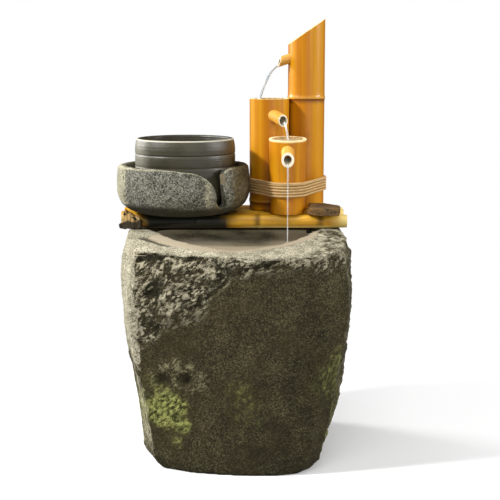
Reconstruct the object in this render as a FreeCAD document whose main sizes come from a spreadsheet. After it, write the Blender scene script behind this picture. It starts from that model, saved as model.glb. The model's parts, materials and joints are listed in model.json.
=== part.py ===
import FreeCAD, Part
import math
import os
import Sketcher

# Bamboo and stone garden fountain: a hewn granite basin, a raft of six bamboo poles across it,
# three bound bamboo tubes with spouts on the raft, a notched stone bowl with a pot in it, and the
# small submersible pump in the basin that feeds the tallest tube. Millimetres, +Z up, the origin
# on the ground under the middle of the basin, the front of the fountain towards -Y.

doc = FreeCAD.newDocument("bamboo_fountain")
sheet = doc.addObject("Spreadsheet::Sheet", "sizes")
parts = []


# A size of the sheet, or a sum worked out from some: its value and the expression that gives it

class Size:
    def __init__(self, value, text):
        self.value = float(value)
        self.text = text

    def __add__(self, other):
        other = asSize(other)
        return Size(self.value + other.value, "(%s + %s)" % (self.text, other.text))

    def __radd__(self, other):
        return asSize(other) + self

    def __sub__(self, other):
        other = asSize(other)
        return Size(self.value - other.value, "(%s - %s)" % (self.text, other.text))

    def __rsub__(self, other):
        return asSize(other) - self

    def __mul__(self, other):
        other = asSize(other)
        return Size(self.value * other.value, "(%s * %s)" % (self.text, other.text))

    def __rmul__(self, other):
        return asSize(other) * self

    def __truediv__(self, other):
        other = asSize(other)
        return Size(self.value / other.value, "(%s / %s)" % (self.text, other.text))

    def __neg__(self):
        return Size(-self.value, "(0 - %s)" % self.text)


def asSize(number):
    if isinstance(number, Size):
        return number
    return Size(number, "(%.6f)" % number)


def cosOf(angle):
    return Size(math.cos(math.radians(angle.value)), "cos(%s)" % angle.text)


def sinOf(angle):
    return Size(math.sin(math.radians(angle.value)), "sin(%s)" % angle.text)


def tanOf(angle):
    return Size(math.tan(math.radians(angle.value)), "tan(%s)" % angle.text)


def rootOf(number):
    return Size(math.sqrt(number.value), "sqrt(%s)" % number.text)


def size(name, value, note):
    row = len(sheet.getUsedCells()) // 3 + 1
    sheet.set("A%d" % row, name)
    sheet.set("B%d" % row, "%g" % value)
    sheet.set("C%d" % row, note)
    sheet.setAlias("B%d" % row, name)
    return Size(value, "sizes." + name)


# Clearances and seats
fit = size("fit", 0.05, "radial clearance of a pin, dowel or spout in its hole")
lift_gap = size("lift_gap", 0.3, "gap under a round pole or a piece that lifts off round poles")
seat_gap = size("seat_gap", 0.1, "gap between pieces that stand on each other in one body")
touch_gap = size("touch_gap", 1.7, "gap between two tubes bound together")
overshoot = size("overshoot", 1, "how far a cut runs past the face it opens")

# Granite basin
basin_width = size("basin_width", 512, "widest part of the block, left to right")
basin_depth = size("basin_depth", 462, "widest part of the block, front to back")
basin_height = size("basin_height", 495, "ground to the side rims")
basin_rim = size("basin_rim", 0.917, "half width of the block at the rim, as a share of its widest")
hewn_depth = size("hewn_depth", 12, "depth of the chisel cuts on the block's faces")
hewn_step = size("hewn_step", 8, "how far the rough upper left of the front stands out")
basin_side_wall = size("basin_side_wall", 47.3, "left and right wall at the rim")
basin_front_wall = size("basin_front_wall", 61, "front wall at the rim")
basin_back_wall = size("basin_back_wall", 55, "back wall at the rim")
cavity_drop = size("cavity_drop", 300, "side rims to the floor of the cavity")
cavity_corner = size("cavity_corner", 45, "upright back corners of the cavity")
cavity_flat = size("cavity_flat", 30, "straight part of the cavity's front")
cavity_turn = size("cavity_turn", 20, "end of the right bend, behind the middle")
cavity_nook = size("cavity_nook", 18, "pointed left end of the cavity, beyond its left wall")
nook_behind = size("nook_behind", 42, "that end, behind the middle")
left_bend = size("left_bend", 300, "radius of the cavity's wall at the front left")
right_bend = size("right_bend", 258, "radius of the cavity's wall at the front right")
cavity_round = size("cavity_round", 18, "round between cavity floor and walls")
cavity_ease = size("cavity_ease", 32, "upright rounds where the bends of the wall meet")
lip_drop = size("lip_drop", 27, "how far the worn front edge lies under the side rims")
lip_start = size("lip_start", 38, "where the rim starts to fall, in front of the middle")

# Bamboo raft
pole_outer = size("pole_outer", 30, "pole diameter between nodes")
pole_wall = size("pole_wall", 4.5, "pole wall at its open ends")
pole_bore_depth = size("pole_bore_depth", 24, "open hollow at each end of a pole")
pole_ring = size("pole_ring", 0.9, "how far a node ring stands out")
pole_ring_width = size("pole_ring_width", 7, "length of a node ring along the pole")
pole_gap = size("pole_gap", 0.2, "gap between a node ring and the next pole")
pole_node = size("pole_node", 136.7, "distance between nodes")
pole_first_node = size("pole_first_node", 194, "a node of the front pole, from its right end")
pole_plain = size("pole_plain", 12, "end of a pole to the nearest node ring, at least")
pole_stagger = size("pole_stagger", 43, "shift of the nodes from pole to pole")
raft_inset = size("raft_inset", 6, "left end of the raft inside the bowl's left side")
raft_overhang = size("raft_overhang", 7, "right end of the raft beyond the basin's rim")
pole_ragged = size("pole_ragged", 8, "how much the shorter poles stay behind the longest")
dowel_outer = size("dowel_outer", 8, "dowels through the poles")
dowel_left = size("dowel_left", 86, "left end of the raft to the left dowel")
dowel_right = size("dowel_right", 36, "right dowel to the right end of the raft")
dowel_cover = size("dowel_cover", 7, "wood left in front of the dowel in the front pole")

# Weathered wood on the raft
chock_inset = size("chock_inset", 1, "left end of the raft to the left chock")
chock_width = size("chock_width", 52, "left chock, left to right")
chock_height = size("chock_height", 45, "left chock, rim to its top")
chock_front = size("chock_front", 22, "front face of the left chock, in front of the front pole's axis")
chock_length = size("chock_length", 19, "left chock, front to back")
chock_chip = size("chock_chip", 3, "worn edges of both blocks")
block_width = size("block_width", 75, "right block, left to right")
block_length = size("block_length", 108, "right block, front to back")
block_height = size("block_height", 17, "right block, raft to its top")
block_gap = size("block_gap", 4.7, "foot of the small tube to the right block")
block_front = size("block_front", 42, "front corner of the right block in front of the front pole's axis")

# Bamboo tubes
tall_outer = size("tall_outer", 83, "tall tube diameter")
medium_outer = size("medium_outer", 89, "medium tube diameter")
small_outer = size("small_outer", 83.4, "small tube diameter at its top")
small_foot = size("small_foot", 75, "small tube diameter at its foot")
tube_wall = size("tube_wall", 7, "tube wall")
septum = size("septum", 8, "wall across a tube at a node")
tube_ring = size("tube_ring", 1.6, "how far a tube's node ring stands out")
tube_ring_width = size("tube_ring_width", 10, "height of a tube's node ring")
tall_inset = size("tall_inset", 30.45, "axis of the tall tube inside the cavity's right wall")
tall_row = size("tall_row", 4, "the tall tube stands over this pole, counted from 0 at the front")
tall_low = size("tall_low", 367, "tall tube, foot to the low side of its slanting cut")
tall_slant = size("tall_slant", 34, "slope of the tall tube's cut")
tall_node = size("tall_node", 246, "tall tube, foot to its node")
medium_height = size("medium_height", 247, "medium tube, foot to rim")
medium_node = size("medium_node", 17, "medium tube, foot to its node ring")
small_height = size("small_height", 163, "small tube, foot to rim")
small_slant = size("small_slant", 4, "slope of the small tube's rim towards the front")
medium_bearing = size("medium_bearing", 197.6, "direction from the tall to the medium tube")
small_bearing = size("small_bearing", -63.7, "direction from the medium to the small tube")
rim_round = size("rim_round", 1.2, "rounded rims of the tubes")

# Spouts
upper_outer = size("upper_outer", 22, "upper spout")
upper_bore = size("upper_bore", 14.4, "bore of the upper spout")
upper_yaw = size("upper_yaw", 192.4, "direction of the upper spout")
upper_pitch = size("upper_pitch", 18, "fall of the upper spout")
upper_height = size("upper_height", 351, "raft to where the upper spout's axis meets the hose")
upper_start = size("upper_start", 41.5, "hose axis to the inner end of the upper spout")
upper_end = size("upper_end", 85, "hose axis to the tip of the upper spout")
middle_outer = size("middle_outer", 27, "middle spout at its root")
middle_bore = size("middle_bore", 19, "bore of the middle spout")
middle_bearing = size("middle_bearing", -75, "where the middle spout leaves its tube")
middle_yaw = size("middle_yaw", -54, "direction of the middle spout")
middle_pitch = size("middle_pitch", 16, "fall of the middle spout")
middle_height = size("middle_height", 209, "raft to the root of the middle spout")
middle_reach = size("middle_reach", 36, "root to tip of the middle spout")
lower_outer = size("lower_outer", 29, "lower spout at its root")
lower_bore = size("lower_bore", 17, "bore of the lower spout")
lower_bearing = size("lower_bearing", -92, "where the lower spout leaves its tube")
lower_yaw = size("lower_yaw", -91, "direction of the lower spout")
lower_pitch = size("lower_pitch", 27, "fall of the lower spout")
lower_height = size("lower_height", 134, "raft to the root of the lower spout")
lower_reach = size("lower_reach", 37, "root to tip of the lower spout")
spout_taper = size("spout_taper", 0.8, "how much a spout's radius shrinks to its tip")
spout_lip = size("spout_lip", 20, "slant of a spout's end, its lower lip the longer")
upper_lip = size("upper_lip", 34, "slant of the upper spout's end")

# Rope binding
rope_outer = size("rope_outer", 5.9, "rope diameter")
rope_turns = size("rope_turns", 6, "turns of the binding")
rope_pitch = size("rope_pitch", 6.1, "height of one turn")
rope_touch = size("rope_touch", 0.35, "axis of a turn to where the next one meets it, at least")
rope_low = size("rope_low", 34.5, "raft to the underside of the binding")
rope_gap = size("rope_gap", 0.3, "gap between rope and tubes")

# Screws from below, through the poles into the feet of the tubes
screw_shank = size("screw_shank", 4.4, "screw diameter")
screw_head = size("screw_head", 9, "screw head diameter")
screw_head_height = size("screw_head_height", 2.6, "screw head height")
screw_sink = size("screw_sink", 4, "how deep the heads sit in the poles")
screw_bite = size("screw_bite", 6.5, "how far a screw reaches into a tube's foot")
tall_screws = size("tall_screws", 25, "tall tube axis to each of its screws")
medium_screws = size("medium_screws", 18, "medium tube axis to each of its screws")
small_screws = size("small_screws", 14, "small tube axis to each of its screws")

# Notched stone bowl
bowl_bearing = size("bowl_bearing", 197.4, "direction from the medium tube to the bowl")
bowl_gap = size("bowl_gap", 1.4, "rope to the bowl's widest part")
bowl_height = size("bowl_height", 106, "bowl, raft to rim")
bowl_foot = size("bowl_foot", 164, "flat foot of the bowl")
bowl_wall = size("bowl_wall", 22, "bowl wall")
bowl_ring = size("bowl_ring", 15, "gap between the pot and the bowl's wall")
bowl_floor = size("bowl_floor", 22, "bowl floor")
bowl_rim_round = size("bowl_rim_round", 8, "rounded rim of the bowl")
notch_bearing = size("notch_bearing", 37.5, "pouring notch, turned to the right from the front")
notch_floor = size("notch_floor", 19, "width of the notch at the bowl's floor")
notch_round = size("notch_round", 5, "rounds at the foot of the notch")
notch_step = size("notch_step", 0.5, "floor of the bowl to the foot of the notch")
notch_sweep = size("notch_sweep", 64, "radius of the notch's left shoulder")
notch_shoulder = size("notch_shoulder", 17, "radius of the notch's right shoulder")

# Pot in the bowl
pot_outer = size("pot_outer", 220, "pot diameter")
pot_shift = size("pot_shift", 4, "pot stands this far to the right of the bowl's axis")
pot_height = size("pot_height", 141, "pot height")
pot_wall = size("pot_wall", 11, "pot wall")
pot_floor = size("pot_floor", 12, "pot floor")
pot_groove = size("pot_groove", 108, "pot foot to the groove")
pot_groove_width = size("pot_groove_width", 3, "width of the groove")
pot_groove_depth = size("pot_groove_depth", 1.2, "depth of the groove")
pot_line = size("pot_line", 82, "pot foot to the faint lower groove")
pot_foot = size("pot_foot", 178, "foot of the pot")
pot_foot_ring = size("pot_foot_ring", 12, "width of the pot's foot ring")
pot_foot_rise = size("pot_foot_rise", 2, "height of the pot's foot ring")
pot_narrow = size("pot_narrow", 1, "how much the pot narrows inside to its floor")

# Submersible pump
pump_left = size("pump_left", 45, "pump axis to the left of the hose")
pump_front = size("pump_front", 58.4, "front face of the pump housing in front of the hose")
pump_width = size("pump_width", 58, "pump housing, left to right")
pump_height = size("pump_height", 50, "pump housing, bottom to top")
pump_length = size("pump_length", 53, "pump housing, front to back")
pump_round = size("pump_round", 6, "rounded long edges of the pump")
well_bore = size("well_bore", 26, "well of the rotor")
well_depth = size("well_depth", 44, "front face to the end of the rotor's well")
chamber_bore = size("chamber_bore", 38, "pump chamber")
chamber_depth = size("chamber_depth", 12, "depth of the pump chamber")
cover_thick = size("cover_thick", 4, "cover of the pump chamber")
cover_eye = size("cover_eye", 10, "outer radius of the openings in the cover")
cover_hub = size("cover_hub", 4.2, "radius of the hub in the cover")
cover_arm = size("cover_arm", 3, "width of each of the cover's arms")
cover_arm_ease = size("cover_arm_ease", 0.4, "extra width on one side of an arm")
strainer_length = size("strainer_length", 24, "strainer, front to back")
strainer_wall = size("strainer_wall", 2, "wall of the strainer")
slot_width = size("slot_width", 3, "slots of the strainer")
slot_inset = size("slot_inset", 6, "side slots to the ends of the strainer")
slot_land = size("slot_land", 1, "front slots to the edge of the dial")
slot_pitch = size("slot_pitch", 6, "distance between slots")
slot_count = size("slot_count", 7, "slots in each row")
dial_outer = size("dial_outer", 24, "flow dial")
dial_thick = size("dial_thick", 3, "thickness of the flow dial")
dial_grip = size("dial_grip", 3, "width of the dial's grip")
dial_pin = size("dial_pin", 4, "pin of the flow dial")
shaft_outer = size("shaft_outer", 3, "ceramic shaft")
shaft_front = size("shaft_front", 2.5, "how far the shaft reaches in front of the housing")
bush_outer = size("bush_outer", 7, "rubber bush of the shaft")
bush_length = size("bush_length", 4, "length of the rear bush")
bush_step = size("bush_step", 0.6, "how much thinner the front bush is, in radius")
magnet_outer = size("magnet_outer", 24.4, "magnet of the rotor")
rotor_play = size("rotor_play", 0.6, "gap between the rotor and the bush at each of its ends")
rotor_ease = size("rotor_ease", 1, "impeller in front of the chamber's foot, and the magnet's bevels")
impeller_outer = size("impeller_outer", 33, "impeller over its blades")
impeller_plate = size("impeller_plate", 1.6, "back plate of the impeller")
blade_height = size("blade_height", 4.6, "height of the blades")
blade_thick = size("blade_thick", 1.8, "thickness of a blade")
blade_count = size("blade_count", 6, "blades")
hub_outer = size("hub_outer", 9, "hub of the impeller")
seal_middle = size("seal_middle", 43.4, "seal ring, middle of its section")
seal_section = size("seal_section", 1.8, "section of the seal ring")
nozzle_boss = size("nozzle_boss", 17, "boss on top of the housing")
nozzle_boss_height = size("nozzle_boss_height", 6, "height of that boss")
nozzle_bore = size("nozzle_bore", 6.4, "bore of the outlet nozzle")
nozzle_thread = size("nozzle_thread", 11, "part of the nozzle in the boss")
thread_extra = size("thread_extra", 2, "outlet thread below the foot of its boss")
boss_inset = size("boss_inset", 0.5, "outlet boss behind the housing's front face")
barb_depth = size("barb_depth", 0.7, "depth between two barbs of the nozzle")
nozzle_flange = size("nozzle_flange", 16, "flange of the nozzle")
flange_thick = size("flange_thick", 2.5, "thickness of that flange")
nozzle_barb = size("nozzle_barb", 14, "height of the barbed part")
foot_outer = size("foot_outer", 17, "suction foot")
foot_height = size("foot_height", 8, "cavity floor to the underside of the pump")
foot_stem = size("foot_stem", 5, "stem of a suction foot")
foot_edge = size("foot_edge", 2, "width of a foot's lip and of its shoulder")
foot_stem_length = size("foot_stem_length", 3, "stem in the housing")
foot_inset = size("foot_inset", 11, "feet inside the pump's edges")
gland_outer = size("gland_outer", 11, "cord gland at the housing")
gland_tip = size("gland_tip", 7.5, "cord gland at its free end")
gland_length = size("gland_length", 16, "length of the cord gland")
gland_seat = size("gland_seat", 3, "gland in the housing")
gland_collar = size("gland_collar", 1.5, "how far the gland's collar stands out")
gland_collar_thick = size("gland_collar_thick", 3, "thickness of that collar")
gland_neck = size("gland_neck", 0.6, "how much the gland narrows behind its collar")

# Hose
hose_outer = size("hose_outer", 13, "hose outside")
hose_bore = size("hose_bore", 9, "hose inside, open at both ends")
hose_offset = size("hose_offset", 10, "hose to the right of the tall tube's axis")
hose_hole = size("hose_hole", 14, "holes that the hose passes")
hose_top_bend = size("hose_top_bend", 30, "bend into the upper spout")
hose_low = size("hose_low", 62, "nozzle flange to the lower bend's corner")
hose_high = size("hose_high", 62, "upper bend's corner below the raft")
hose_in_spout = size("hose_in_spout", 8, "hose end inside the upper spout")


# Places that several pieces share
pole_pitch = pole_outer + pole_ring + pole_gap
raft_low = basin_height + lift_gap + pole_ring
pole_axis_height = raft_low + pole_outer / 2
deck = raft_low + pole_outer + pole_ring
tube_foot = deck + seat_gap
rim_reach = basin_width / 2 * basin_rim
cavity_half = rim_reach - basin_side_wall
tall_x = cavity_half - tall_inset
tall_y = pole_pitch * tall_row
medium_reach = (tall_outer + medium_outer) / 2 + touch_gap
medium_x = tall_x + medium_reach * cosOf(medium_bearing)
medium_y = tall_y + medium_reach * sinOf(medium_bearing)
small_reach = (medium_outer + small_outer) / 2 + touch_gap
small_x = medium_x + small_reach * cosOf(small_bearing)
small_y = medium_y + small_reach * sinOf(small_bearing)
bowl_outer = pot_outer + (bowl_ring + bowl_wall) * 2
bowl_reach = (bowl_outer + medium_outer) / 2 + rope_outer + rope_gap + bowl_gap
bowl_x = medium_x + bowl_reach * cosOf(bowl_bearing)
bowl_y = medium_y + bowl_reach * sinOf(bowl_bearing)
raft_left = bowl_x - bowl_outer / 2 + raft_inset
raft_right = rim_reach + raft_overhang
chock_x = raft_left + chock_inset + chock_width
block_x = small_x + small_foot / 2 + block_gap
hose_x = tall_x + hose_offset
hose_y = tall_y
pump_x = hose_x - pump_left
pump_y = hose_y - pump_front
cavity_floor = basin_height - cavity_drop
pump_bottom = cavity_floor + foot_height
pump_axis_height = pump_bottom + pump_height / 2
outlet_back = nozzle_boss / 2 + boss_inset
outlet_y = pump_y + outlet_back
boss_top = pump_bottom + pump_height + nozzle_boss_height
flange_top = boss_top + flange_thick
dial_window = dial_outer / 2 * 0.62
dial_hole = dial_outer / 8
rotor_back = chamber_depth - rotor_ease


# Helpers for bodies and sketches

def bind(thing, name, value):
    thing.setExpression(name, asSize(value).text)


def place(thing, x=0, y=0, z=0, yaw=0, pitch=0, roll=0):
    spot = "; ".join(asSize(value).text for value in (x, y, z))
    turn = "; ".join(asSize(value).text for value in (yaw, pitch, roll))
    thing.setExpression("Placement", "placement(vector(%s); rotation(%s))" % (spot, turn))


def newBody(label):
    body = doc.addObject("PartDesign::Body", label)
    body.Label = label
    return body


def keep(thing, label):
    thing.Label = label
    parts.append(thing)
    return thing


def newSketch(body, name, plane, offset=None):
    sketch = body.newObject("Sketcher::SketchObject", name)
    base = next(item for item in body.Origin.OriginFeatures if item.Role == plane)
    sketch.AttachmentSupport = [(base, "")]
    sketch.MapMode = "FlatFace"
    if offset is not None:
        bind(sketch, "AttachmentOffset.Base.z", offset)
    return sketch


def fixPoint(sketch, geometry, end, x, y):
    for kind, value in (("DistanceX", x), ("DistanceY", y)):
        index = sketch.addConstraint(Sketcher.Constraint(kind, -1, 1, geometry, end, value.value))
        bind(sketch, "Constraints[%d]" % index, value)


# A closed outline from (x, y) corners. A corner (x, y, radius, turn) is reached by an arc, which
# turns to the left where turn is 1 and to the right where it is -1.
def outline(sketch, corners):
    corners = [tuple(asSize(value) for value in corner[:3]) + corner[3:] for corner in corners]
    ends = []
    for index, corner in enumerate(corners):
        start = FreeCAD.Vector(corners[index - 1][0].value, corners[index - 1][1].value, 0)
        stop = FreeCAD.Vector(corner[0].value, corner[1].value, 0)
        if len(corner) == 2:
            geometry = sketch.addGeometry(Part.LineSegment(start, stop))
            ends.append((geometry, 1, 2))
            continue
        radius, turn = corner[2].value, corner[3]
        chord = stop - start
        side = FreeCAD.Vector(-chord.y, chord.x, 0).normalize()
        rise = math.sqrt(max(radius ** 2 - chord.Length ** 2 / 4, 0))
        centre = (start + stop) * 0.5 + side * rise * turn
        first, last = (start, stop) if turn == 1 else (stop, start)
        angles = [math.atan2(spot.y - centre.y, spot.x - centre.x) for spot in (first, last)]
        circle = Part.Circle(centre, FreeCAD.Vector(0, 0, 1), radius)
        geometry = sketch.addGeometry(Part.ArcOfCircle(circle, angles[0], angles[1]))
        ends.append((geometry, 1, 2) if turn == 1 else (geometry, 2, 1))
        index = sketch.addConstraint(Sketcher.Constraint("Radius", geometry, radius))
        bind(sketch, "Constraints[%d]" % index, corner[2])
    for index, (geometry, start, stop) in enumerate(ends):
        following, followingStart = ends[(index + 1) % len(ends)][:2]
        sketch.addConstraint(
            Sketcher.Constraint("Coincident", geometry, stop, following, followingStart))
        fixPoint(sketch, geometry, stop, corners[index][0], corners[index][1])


def circle(sketch, x, y, radius):
    x, y, radius = asSize(x), asSize(y), asSize(radius)
    geometry = sketch.addGeometry(Part.Circle(
        FreeCAD.Vector(x.value, y.value, 0), FreeCAD.Vector(0, 0, 1), radius.value))
    fixPoint(sketch, geometry, 3, x, y)
    index = sketch.addConstraint(Sketcher.Constraint("Radius", geometry, radius.value))
    bind(sketch, "Constraints[%d]" % index, radius)


def box(left, bottom, right, top):
    return [(left, bottom), (right, bottom), (right, top), (left, top)]


def roundedBox(left, bottom, right, top, radius):
    return [
        (left + radius, bottom),
        (right - radius, bottom),
        (right, bottom + radius, radius, 1),
        (right, top - radius),
        (right - radius, top, radius, 1),
        (left + radius, top),
        (left, top - radius, radius, 1),
        (left, bottom + radius),
        (left + radius, bottom, radius, 1),
    ][1:]


def turned(body, name, corners, plane="XZ_Plane", axis="V_Axis", cut=False):
    sketch = newSketch(body, name + "_outline", plane)
    outline(sketch, corners)
    feature = body.newObject("PartDesign::Groove" if cut else "PartDesign::Revolution", name)
    feature.Profile = sketch
    feature.ReferenceAxis = (sketch, [axis])
    feature.Angle = 360
    return feature


def pushed(body, name, sketch, length, cut=False, reverse=False, both=False):
    feature = body.newObject("PartDesign::Pocket" if cut else "PartDesign::Pad", name)
    feature.Profile = sketch
    feature.Type = "Length"
    feature.SideType = "Symmetric" if both else "One side"
    feature.Reversed = reverse
    bind(feature, "Length", length)
    return feature


def rounded(body, name, radius, test, kind="Fillet"):
    doc.recompute()
    base = body.Tip
    names = ["Edge%d" % (i + 1) for i, edge in enumerate(base.Shape.Edges) if test(edge)]
    feature = body.newObject("PartDesign::" + kind, name)
    feature.Base = (base, names)
    bind(feature, "Radius" if kind == "Fillet" else "Size", radius)
    return feature


def repeated(body, name, feature, sketch, axis, count, angle):
    doc.recompute()
    pattern = body.newObject("PartDesign::PolarPattern", name)
    pattern.Originals = [feature]
    pattern.Axis = (sketch, [axis])
    pattern.Angle = angle
    pattern.Occurrences = count
    body.Tip = pattern
    return pattern


def cutWith(label, base, tools):
    cut = doc.addObject("Part::Cut", label)
    cut.Base = base
    if len(tools) == 1:
        cut.Tool = tools[0]
    else:
        group = doc.addObject("Part::MultiFuse", label + "_tools")
        group.Shapes = tools
        cut.Tool = group
    return keep(cut, label)


def rod(label, radius, length):
    cylinder = doc.addObject("Part::Cylinder", label)
    bind(cylinder, "Radius", radius)
    bind(cylinder, "Height", length)
    return cylinder


# Stone basin: ten hewn outlines joined by flat three-cornered chisel faces. Each level is given in
# shares of the height and of half the width and depth: height, left, right, front, back.

basinLevels = [
    (0.000, 0.722, 0.675, 0.890, 0.85),
    (0.053, 0.805, 0.772, 0.915, 0.88),
    (0.172, 0.831, 0.827, 0.940, 0.92),
    (0.303, 0.881, 0.881, 0.963, 0.94),
    (0.434, 0.946, 0.916, 0.980, 0.96),
    (0.566, 0.979, 0.963, 0.990, 0.97),
    (0.697, 0.977, 1.000, 1.000, 0.98),
    (0.818, 0.977, 0.998, 1.000, 0.99),
    (0.919, 0.951, 0.975, 1.000, 0.99),
    (1.000, basin_rim, basin_rim, 0.982, 0.98),
]

# Corners of one outline, in shares of the level's own reach to each side, from the front left
basinPlan = [
    (-0.88, -0.75),
    (-0.52, -0.90),
    (-0.17, -0.965),
    (0.14, -1.00),
    (0.46, -0.96),
    (0.75, -0.89),
    (0.92, -0.73),
    (1.00, -0.40),
    (0.985, 0.00),
    (0.98, 0.40),
    (0.92, 0.78),
    (0.70, 0.95),
    (0.25, 1.00),
    (-0.25, 0.99),
    (-0.68, 0.96),
    (-0.91, 0.80),
    (-0.98, 0.42),
    (-1.00, 0.02),
    (-0.99, -0.36),
]


# How far a corner stays behind its outline, in shares of the chisel's depth. The lower right of
# the front is sound stone, and the foot and the rim are dressed.
def chiselCut(height, x, y, number):
    cut = 0.5 + 0.5 * math.sin(number * 5.3 + x * 17 + y * 7)
    if y < -0.6 and not inRoughPart(height, x):
        cut = cut * 0.25
    if height < 0.05 or height > 0.95:
        cut = cut * 0.3
    return cut


# The rough part of the front lies above a line that climbs to the right
def inRoughPart(height, x):
    return height > 0.86 + x * 0.40 and x < 0.2


def hewnOutline(number):
    height, left, right, front, back = (asSize(share).value for share in basinLevels[number])
    corners = []
    for x, y in basinPlan:
        cut = hewn_depth.value * chiselCut(height, x, y, number)
        if y < -0.6 and x < 0.2 and not inRoughPart(height, x):
            cut = cut + hewn_step.value
        across = basin_width.value / 2 * (left if x < 0 else right) - cut
        along = basin_depth.value / 2 * (front if y < 0 else back) - cut
        corners.append(FreeCAD.Vector(across * x, along * y, basin_height.value * height))
    return corners


def flatFace(*corners):
    return Part.Face(Part.makePolygon(list(corners) + [corners[0]]))


def hewnBlock():
    rings = [hewnOutline(number) for number in range(len(basinLevels))]
    count = len(basinPlan)
    faces = [flatFace(*rings[0]), flatFace(*rings[-1])]
    for number in range(len(rings) - 1):
        low, high = rings[number], rings[number + 1]
        for index in range(count):
            following = (index + 1) % count
            if (number + index) % 2:
                faces.append(flatFace(low[index], low[following], high[index]))
                faces.append(flatFace(low[following], high[following], high[index]))
            else:
                faces.append(flatFace(low[index], low[following], high[following]))
                faces.append(flatFace(low[index], high[following], high[index]))
    block = doc.addObject("Part::Feature", "hewn_block")
    block.Shape = Part.makeSolid(Part.makeShell(faces))
    return block


def makeWornLip():
    rimFront = basinLevels[-1][3]
    deep = basin_depth / 2
    far = basin_depth * 0.6
    body = newBody("worn_lip")
    lip = newSketch(body, "lip_outline", "YZ_Plane")
    outline(lip, [
        (-lip_start, basin_height),
        (-far, basin_height - lip_drop * (far - lip_start) / (deep * rimFront - lip_start)),
        (-far, basin_height + lip_drop),
        (-lip_start, basin_height + lip_drop),
    ])
    pushed(body, "lip_wedge", lip, basin_width * 1.2, both=True)
    return body


def makeCavity():
    rimFront, rimBack = basinLevels[-1][3:]
    front = basin_front_wall - basin_depth / 2 * rimFront
    back = basin_depth / 2 * rimBack - basin_back_wall
    body = newBody("cavity")
    opening = newSketch(body, "cavity_outline", "XY_Plane", cavity_floor)
    outline(opening, [
        (-cavity_flat / 2, front, left_bend, 1),
        (cavity_flat / 2, front),
        (cavity_half, cavity_turn, right_bend, 1),
        (cavity_half, back - cavity_corner),
        (cavity_half - cavity_corner, back, cavity_corner, 1),
        (cavity_corner - cavity_half, back),
        (-cavity_half, back - cavity_corner, cavity_corner, 1),
        (-cavity_half - cavity_nook, nook_behind),
    ])
    pushed(body, "cavity_room", opening, cavity_drop + lip_drop)
    meetings = [
        (cavity_flat / 2, front),
        (-cavity_flat / 2, front),
        (cavity_half, cavity_turn),
        (-cavity_half, back - cavity_corner),
        (-cavity_half - cavity_nook, nook_behind),
    ]
    spots = [FreeCAD.Vector(x.value, y.value, 0) for x, y in meetings]
    rounded(body, "cavity_upright_round", cavity_ease,
            lambda edge: any(all(math.dist(end.Point[:2], spot[:2]) < 0.01 for end in edge.Vertexes)
                             for spot in spots))
    floor = cavity_floor.value
    rounded(body, "cavity_floor_round", cavity_round,
            lambda edge: all(abs(end.Point.z - floor) < 0.01 for end in edge.Vertexes))
    return body


def makeBasin():
    return cutWith("stone_basin", hewnBlock(), [makeCavity(), makeWornLip()])


# Bamboo: the outside of a culm that turns about the sketch's vertical, from its low to its high
# end. The radius may differ at the two ends, and each ring is a ridge round a node.

def culmOutline(low, high, lowRadius, highRadius, rings, ridge, ridgeWidth):
    slope = (highRadius - lowRadius) / (high - low)
    bow = (ridgeWidth * ridgeWidth / 4 + ridge * ridge) / (ridge * 2)
    corners = [(0, low), (lowRadius, low)]
    for ring in rings:
        under = ring - ridgeWidth / 2
        over = ring + ridgeWidth / 2
        corners.append((lowRadius + slope * (under - low), under))
        corners.append((lowRadius + slope * (over - low), over, bow, 1))
    corners.append((highRadius, high))
    corners.append((0, high))
    return corners


# Raft poles: whole culms laid side by side along X, numbered from the front

def polePlace(row):
    return pole_pitch * row


def poleEnds(row):
    left = raft_left + pole_ragged * (row % 2)
    if row == 0:
        left = chock_x + seat_gap
    right = raft_right - pole_ragged * ((row + 1) // 2 % 2)
    return left, right


def screwSpots():
    nearest = int(round((medium_y / pole_pitch).value))
    front = int(round((small_y / pole_pitch).value))
    return [
        (tall_x - tall_screws, int(tall_row.value)),
        (tall_x + tall_screws, int(tall_row.value)),
        (medium_x - medium_screws, nearest),
        (medium_x + medium_screws, nearest),
        (small_x - small_screws, front),
        (small_x + small_screws, front),
    ]


def dowelSpots():
    return (raft_left + dowel_left, raft_right - dowel_right)


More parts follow.
